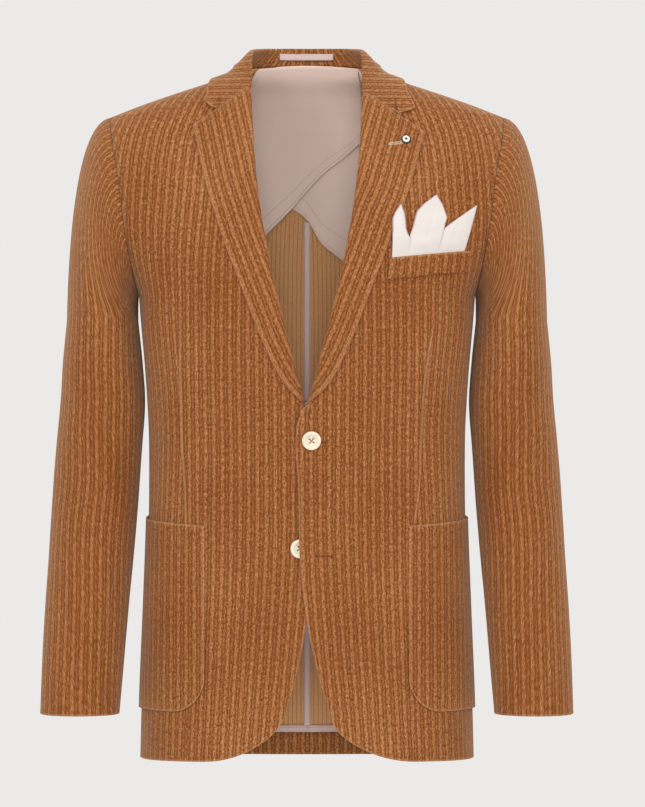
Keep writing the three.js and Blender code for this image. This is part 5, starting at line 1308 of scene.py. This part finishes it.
def sew(name, path, faces, pitch, length, width, material, across=False):
    """A row of stitches along a path of points in mm, as a plain mesh."""
    mesh = bpy.data.meshes.new(name)
    mesh.from_pydata([tuple(p / 1000) for p in path], [(i, i + 1) for i in range(len(path) - 1)], [])
    attribute = mesh.attributes.new("face", "FLOAT_VECTOR", "POINT")
    attribute.data.foreach_set("vector", np.asarray(faces, np.float32).ravel())
    row = bpy.data.objects.new(name, mesh)
    bpy.context.scene.collection.objects.link(row)
    modifier = row.modifiers.new("stitches", "NODES")
    modifier.node_group = row_of_stitches
    values = {"Pitch": pitch / 1000, "Length": length / 1000, "Width": width / 1000,
              "Turn": math.pi / 2 if across else 0.0, "Thread": material}
    for socket in row_of_stitches.interface.items_tree:
        if socket.name in values:
            modifier[socket.identifier] = values[socket.name]
    made = bpy.data.meshes.new_from_object(row.evaluated_get(bpy.context.evaluated_depsgraph_get()))
    row.modifiers.clear()
    row.data = made
    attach(row, "root")
    return row


mauve_thread = thread("mauve thread", (150, 124, 118), (120, 96, 92))
for side, (path, faces) in lining_rows.items():
    sew(f"half_lining_{side}_stitches", path + faces * 0.1, faces, 3.2, 2.1, 0.45,
                mauve_thread)
sew("centre_tape_stitches", tape_row[0] + tape_row[1] * 0.1, tape_row[1], 3.2, 2.2, 0.5,
            mauve_thread)
for side, (path, faces) in hem_rows.items():
    sew(f"hem_tape_{side}_stitches", path + faces * 0.1, faces, 3.0, 2.0, 0.5,
                mauve_thread)


# The buttons: two turned, satin, cream four-hole buttons, sewn on with crossed brown thread.
# The top one is fastened through the left front and the lower one sits under its edge.
BUTTON = dict(radius=10.25, thickness=3.2, recess=0.8, dish=6.6, hole_radius=0.85, hole_from=2.1)
BUTTONS = [dict(name="button_top", side="left", x=5.2, z=-415.4, lift=1.3, turn=0.1),
           dict(name="button_lower", side="right", x=7.2, z=-532, lift=0.35, turn=-0.2)]


def turned_body(name, profile, segments=56):
    """A closed turned body about Z, from points of radius and height in mm."""
    shape = bmesh.new()
    rings = []
    for radius, height in profile:
        if radius < 1e-6:
            rings.append([shape.verts.new((0, 0, height / 1000))])
            continue
        angles = [2 * math.pi * i / segments for i in range(segments)]
        rings.append([shape.verts.new((radius * math.cos(a) / 1000, radius * math.sin(a) / 1000,
                                       height / 1000))
                      for a in angles])
    for low, high in zip(rings, rings[1:]):
        for i in range(segments):
            j = (i + 1) % segments
            corners = [low[i % len(low)], low[j % len(low)], high[j % len(high)], high[i % len(high)]]
            face = list(dict.fromkeys(corners))
            if len(face) > 2:
                shape.faces.new(face)
    bmesh.ops.recalc_face_normals(shape, faces=shape.faces)
    for face in shape.faces:
        face.smooth = True
    mesh = bpy.data.meshes.new(name)
    shape.to_mesh(mesh)
    shape.free()
    body = bpy.data.objects.new(name, mesh)
    bpy.context.scene.collection.objects.link(body)
    return body


def seat(piece, point, normal, turn=0.0):
    """Lays a piece made about Z on a surface, with its place in its mesh."""
    right = unit(np.cross(np.array([0, 0, 1.0]), normal))
    up = np.cross(normal, right)
    count = len(piece.data.vertices)
    flat = np.empty(count * 3)
    piece.data.vertices.foreach_get("co", flat)
    own = flat.reshape(-1, 3)
    c, s = math.cos(turn), math.sin(turn)
    x, y = own[:, :1] * c - own[:, 1:2] * s, own[:, :1] * s + own[:, 1:2] * c
    placed = np.asarray(point) / 1000 + x * right + y * up + own[:, 2:] * normal
    piece.data.vertices.foreach_set("co", placed.ravel())
    piece.data.update()


def polished_cream(name):
    f = Finish(name, roughness=0.32, specular_ior_level=0.5)
    where = f.node("TexCoord", output=3)
    cloudy = f.noise(where, 220.0, 3.0)
    return f.use(f.mixed(linear(218, 203, 178), linear(232, 220, 199), cloudy), cloudy, strength=0.05,
                 distance=0.0002, roughness=0.28 + cloudy * 0.12)


cream = polished_cream("satin cream")
brown_thread = thread("brown thread", (150, 96, 56), (104, 60, 32))
for given in BUTTONS:
    r, t = BUTTON["radius"], BUTTON["thickness"]
    low = t - BUTTON["recess"]
    profile = [(0, 0), (r - 1.8, 0), (r - 0.6, 0.5), (r, 1.5), (r - 0.15, t - 0.8),
               (r - 0.6, t - 0.25), (r - 1.5, t),
               (BUTTON["dish"] + 1.1, t - 0.05), (BUTTON["dish"] + 0.4, t - 0.3),
               (BUTTON["dish"], low), (0, low)]
    button = turned_body(given["name"] + "_disc", profile)
    at = BUTTON["hole_from"] / math.sqrt(2) * 1.25
    holes = []
    for sx, sy in ((1, 1), (1, -1), (-1, 1), (-1, -1)):
        bore = BUTTON["hole_radius"]
        hole = turned_body("hole", [(0, -2), (bore, -2), (bore, 6), (0, 6)], 14)
        for vertex in hole.data.vertices:
            vertex.co.x += sx * at / 1000
            vertex.co.y += sy * at / 1000
        holes.append(hole)
    cutter = joined("holes", holes)
    drilled = button.modifiers.new("holes", "BOOLEAN")
    drilled.operation, drilled.object, drilled.solver = "DIFFERENCE", cutter, "EXACT"
    made = bpy.data.meshes.new_from_object(button.evaluated_get(bpy.context.evaluated_depsgraph_get()))
    button.modifiers.clear()
    button.data = made
    bpy.data.objects.remove(cutter)
    mirror = np.array([1.0 if given["side"] == "left" else -1.0, 1, 1])
    normal = front_normal(given["side"], given["x"], given["z"]) * mirror
    point = front_at(given["side"], given["x"], given["z"]) * mirror + normal * given["lift"]
    seat(button, point, normal, given["turn"])
    button.data.materials.clear()
    button.data.materials.append(cream)
    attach(button, "root")
    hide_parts(given["name"])
    right = unit(np.cross(np.array([0, 0, 1.0]), normal))
    up = np.cross(normal, right)
    c, s = math.cos(given["turn"]), math.sin(given["turn"])
    for number, (sx, sy) in enumerate(((1, 1), (1, -1))):
        ends = [(sx * at * k * c - sy * at * k * s, sx * at * k * s + sy * at * k * c) for k in (-1.15, 1.15)]
        bow = np.linspace(0, 1, 9)
        path = [point + right * blend(ends[0][0], ends[1][0], b) + up * blend(ends[0][1], ends[1][1], b)
                + normal * (low - 0.7 + 1.15 * math.sin(math.pi * b) ** 0.5 + 0.25 * number) for b in bow]
        strand = f"{given['name']}_thread_{number + 1}"
        sew(strand, path, [normal] * 9, 0.45, 0.9, 0.75, brown_thread)


# The buttonholes: slits bound with close stitches in brown, with a round eye towards the edge
# at the lower one. The left lapel has one in cream thread.
def on_grid(outer, inner, x, z):
    """The point of a grid in front of a place, and the grid's normal there."""
    gap = (outer[..., 0] - x) ** 2 + (outer[..., 2] - z) ** 2
    r, c = np.unravel_index(np.argmin(gap), gap.shape)
    normal = unit(outer[r, c] - inner[r, c])
    point = outer[r, c]
    y = point[1] - (normal[0] * (x - point[0]) + normal[2] * (z - point[2])) / normal[1]
    return np.array([x, y, z]), normal


def slit_path(x0, x1, z0, z1, half, eye):
    """Round a buttonhole, starting and ending in its middle at the inner end."""
    share = np.linspace(0, 1, 22)
    swell = half + (eye - half) * np.exp(-(share / 0.09) ** 2)
    top = [(blend(x1, x0, s), blend(z1, z0, s) + w) for s, w in zip(share, swell[::-1])]
    foot = [(blend(x0, x1, s), blend(z0, z1, s) - w) for s, w in zip(share, swell)]
    return [*top, (x0 - eye, z0), *foot]


red_brown_thread = thread("red-brown thread", (158, 84, 44), (112, 54, 26))
cream_thread = thread("cream thread", (238, 222, 196), (206, 182, 150))
# The slits and the lower eye are dark beads and a dark disc of painted shade, where the cut opens into the
# cloth.
slit_shade_finish = Finish("slit shade", roughness=1.0)
slit_shade_finish = slit_shade_finish.use(slit_shade_finish.mixed(linear(48, 24, 12), linear(70, 36, 18), slit_shade_finish.noise(
    slit_shade_finish.node("TexCoord", output=3), 900.0)))
front_grid = front_panel("left")[2:]
lapel_grid = lapel_panel("left", np.linspace(0, 1, 84))
BUTTONHOLES = [
    dict(name="buttonhole_top", grid=front_grid, x0=0, x1=21.5, z0=-417, z1=-417.5, half=0.75, eye=1.6,
         thread=red_brown_thread, pitch=0.85, width=0.5, bar=1.7, slot="corduroy"),
    dict(name="buttonhole_lower", grid=front_grid, x0=10.4, x1=28.4, z0=-539.4, z1=-539.9,
         half=0.55, eye=1.25,
         thread=red_brown_thread, pitch=0.85, width=0.5, bar=1.7, slot="corduroy"),
    dict(name="lapel_buttonhole", grid=lapel_grid, x0=89.5, x1=103.5, z0=-95.6, z1=-93.6, half=0.7, eye=0.9,
         thread=cream_thread, pitch=1.35, width=0.75, bar=2.6, slot="linen"),
]
for hole in BUTTONHOLES:
    path = slit_path(hole["x0"], hole["x1"], hole["z0"], hole["z1"], hole["half"], hole["eye"])
    seated = [on_grid(*hole["grid"], x, z) for x, z in path]
    faces = [normal for _, normal in seated]
    points = [point + normal * 0.25 for point, normal in seated]
    made = sew(hole["name"] + "_stitches", points, faces, hole["pitch"], hole["bar"], hole["width"],
               hole["thread"],
               across=True)
    line = [on_grid(*hole["grid"], blend(hole["x0"], hole["x1"], s), blend(hole["z0"], hole["z1"], s))
            for s in np.linspace(0.02, 0.98, 24)]
    sew(hole["name"] + "_slit", [p + n * 0.12 for p, n in line], [n for _, n in line], 0.5, 0.9,
                hole["half"] * 1.3, slit_shade_finish)
    eye_at, eye_face = on_grid(*hole["grid"], hole["x0"], hole["z0"])
    if hole["name"] == "buttonhole_lower":
        eye = turned_body("buttonhole_lower_eye", [(0, -0.3), (1.15, -0.3), (1.15, 0.35), (0, 0.4)], 20)
        seat(eye, eye_at, eye_face)
        eye.data.materials.append(slit_shade_finish)
        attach(eye, "root")


# The lapel pin: a small round enamelled stud with a dark rim, a cream face and a copper
# rivet in the middle, of plain design.
PIN = dict(x=107.2, z=-90.3, radius=5.4, thickness=1.6)
PIN_RINGS = [("dark rim", [(0, 0), (5.1, 0), (5.4, 0.5), (5.3, 1.3), (4.9, 1.6), (4.2, 1.6),
                           (3.9, 1.3), (0, 1.25)],
              (62, 66, 74), 0.35, 0.6),
             ("cream face", [(0, 1.15), (3.88, 1.15), (3.88, 1.4), (3.5, 1.5), (0, 1.5)],
              (240, 234, 222), 0.25, 0.0),
             ("copper rivet", [(0, 1.4), (1.45, 1.4), (1.5, 1.6), (1.1, 1.85), (0, 1.95)],
              (150, 74, 52), 0.3, 0.9)]
pin_at, pin_face = on_grid(*lapel_grid, PIN["x"], PIN["z"])
for number, (name, profile, colour, rough, metallic) in enumerate(PIN_RINGS):
    part = turned_body("lapel_pin_" + name.replace(" ", "_"), profile, 48)
    seat(part, pin_at + pin_face * GAP, pin_face)
    f = Finish("pin " + name, roughness=rough, metallic=metallic)
    speck = f.noise(f.node("TexCoord", output=3), 1400.0, 2.0)
    darker = linear(*[c * 0.88 for c in colour])
    part.data.materials.append(f.use(f.mixed(darker, linear(*colour), speck), speck,
                                     strength=0.05, distance=0.0001, roughness=rough + speck * 0.1))
    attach(part, "root")
    if number == 0:
        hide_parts("lapel_pin")


# The room: a plain pale floor far below and a pale surround, lit softly from behind the
# camera, from both sides of it and from above.
PALE_GREY = (236, 234, 232)
FLOOR_HALF, FLOOR_HEIGHT = 60, -1.45
LIGHTS = {
    "front": dict(place=(0.1, -5.6, 0.5), aim=(0, 0, -0.35), size=1.6, power=105),
    "key": dict(place=(-1.8, -3.0, 1.6), aim=(0, 0, -0.35), size=1.6, power=26),
    "fill": dict(place=(2.4, -2.8, 0.3), aim=(0, 0, -0.4), size=2.0, power=14),
    "top": dict(place=(0.1, 0.3, 2.6), aim=(0, 0, -0.3), size=1.4, power=12),
}
CAMERA_ACROSS, CAMERA_DISTANCE, CAMERA_HEIGHT = 0.017, 5.0, -0.3757
SENSOR_WIDTH, CLIP_END = 36, 200
FRAME_ROWS, METRES_PER_ROW = 807, 0.0011


def pale(name, colour):
    """An evenly lit, shadowless pale ground."""
    f = Finish(name, roughness=1.0, specular_ior_level=0.0, emission_strength=1.0)
    grain = f.noise(f.node("TexCoord", output=3), 3.0)
    f.shader.inputs["Emission Color"].default_value = (*linear(*colour), 1)
    return f.use(f.mixed((0, 0, 0), (0.002, 0.002, 0.002), grain))


def soft_light(name, place, aim, size, power):
    data = bpy.data.lights.new(name, "AREA")
    data.shape, data.size, data.energy = "DISK", size, power
    lamp = bpy.data.objects.new(name, data)
    lamp.location = place
    way = np.array(aim, float) - np.array(place, float)
    lamp.rotation_euler = Vector(way).to_track_quat("-Z", "Y").to_euler()
    bpy.context.scene.collection.objects.link(lamp)


floor_mesh = bpy.data.meshes.new("floor")
corners = [(-1, -1), (1, -1), (1, 1), (-1, 1)]
floor_mesh.from_pydata([(x * FLOOR_HALF, y * FLOOR_HALF, FLOOR_HEIGHT) for x, y in corners], [],
                       [(0, 1, 2, 3)])
floor = bpy.data.objects.new("floor", floor_mesh)
bpy.context.scene.collection.objects.link(floor)
floor_mesh.materials.append(pale("pale floor", PALE_GREY))

world = bpy.data.worlds.new("surround")
bpy.context.scene.world = world
world.use_nodes = True
backdrop = world.node_tree.nodes["Background"]
backdrop.inputs["Color"].default_value = (*linear(*PALE_GREY), 1)
backdrop.inputs["Strength"].default_value = 1.0
for name, light in LIGHTS.items():
    soft_light(name, **light)

camera_data = bpy.data.cameras.new("camera")
camera_data.sensor_width = SENSOR_WIDTH
camera_data.lens = SENSOR_WIDTH * CAMERA_DISTANCE / (FRAME_ROWS * METRES_PER_ROW)
camera_data.clip_end = CLIP_END
camera = bpy.data.objects.new("camera", camera_data)
camera.location = (CAMERA_ACROSS, -CAMERA_DISTANCE, CAMERA_HEIGHT)
camera.rotation_euler = (math.pi / 2, 0, 0)
bpy.context.scene.collection.objects.link(camera)
bpy.context.scene.camera = camera
bpy.context.scene.view_settings.view_transform = "Standard"
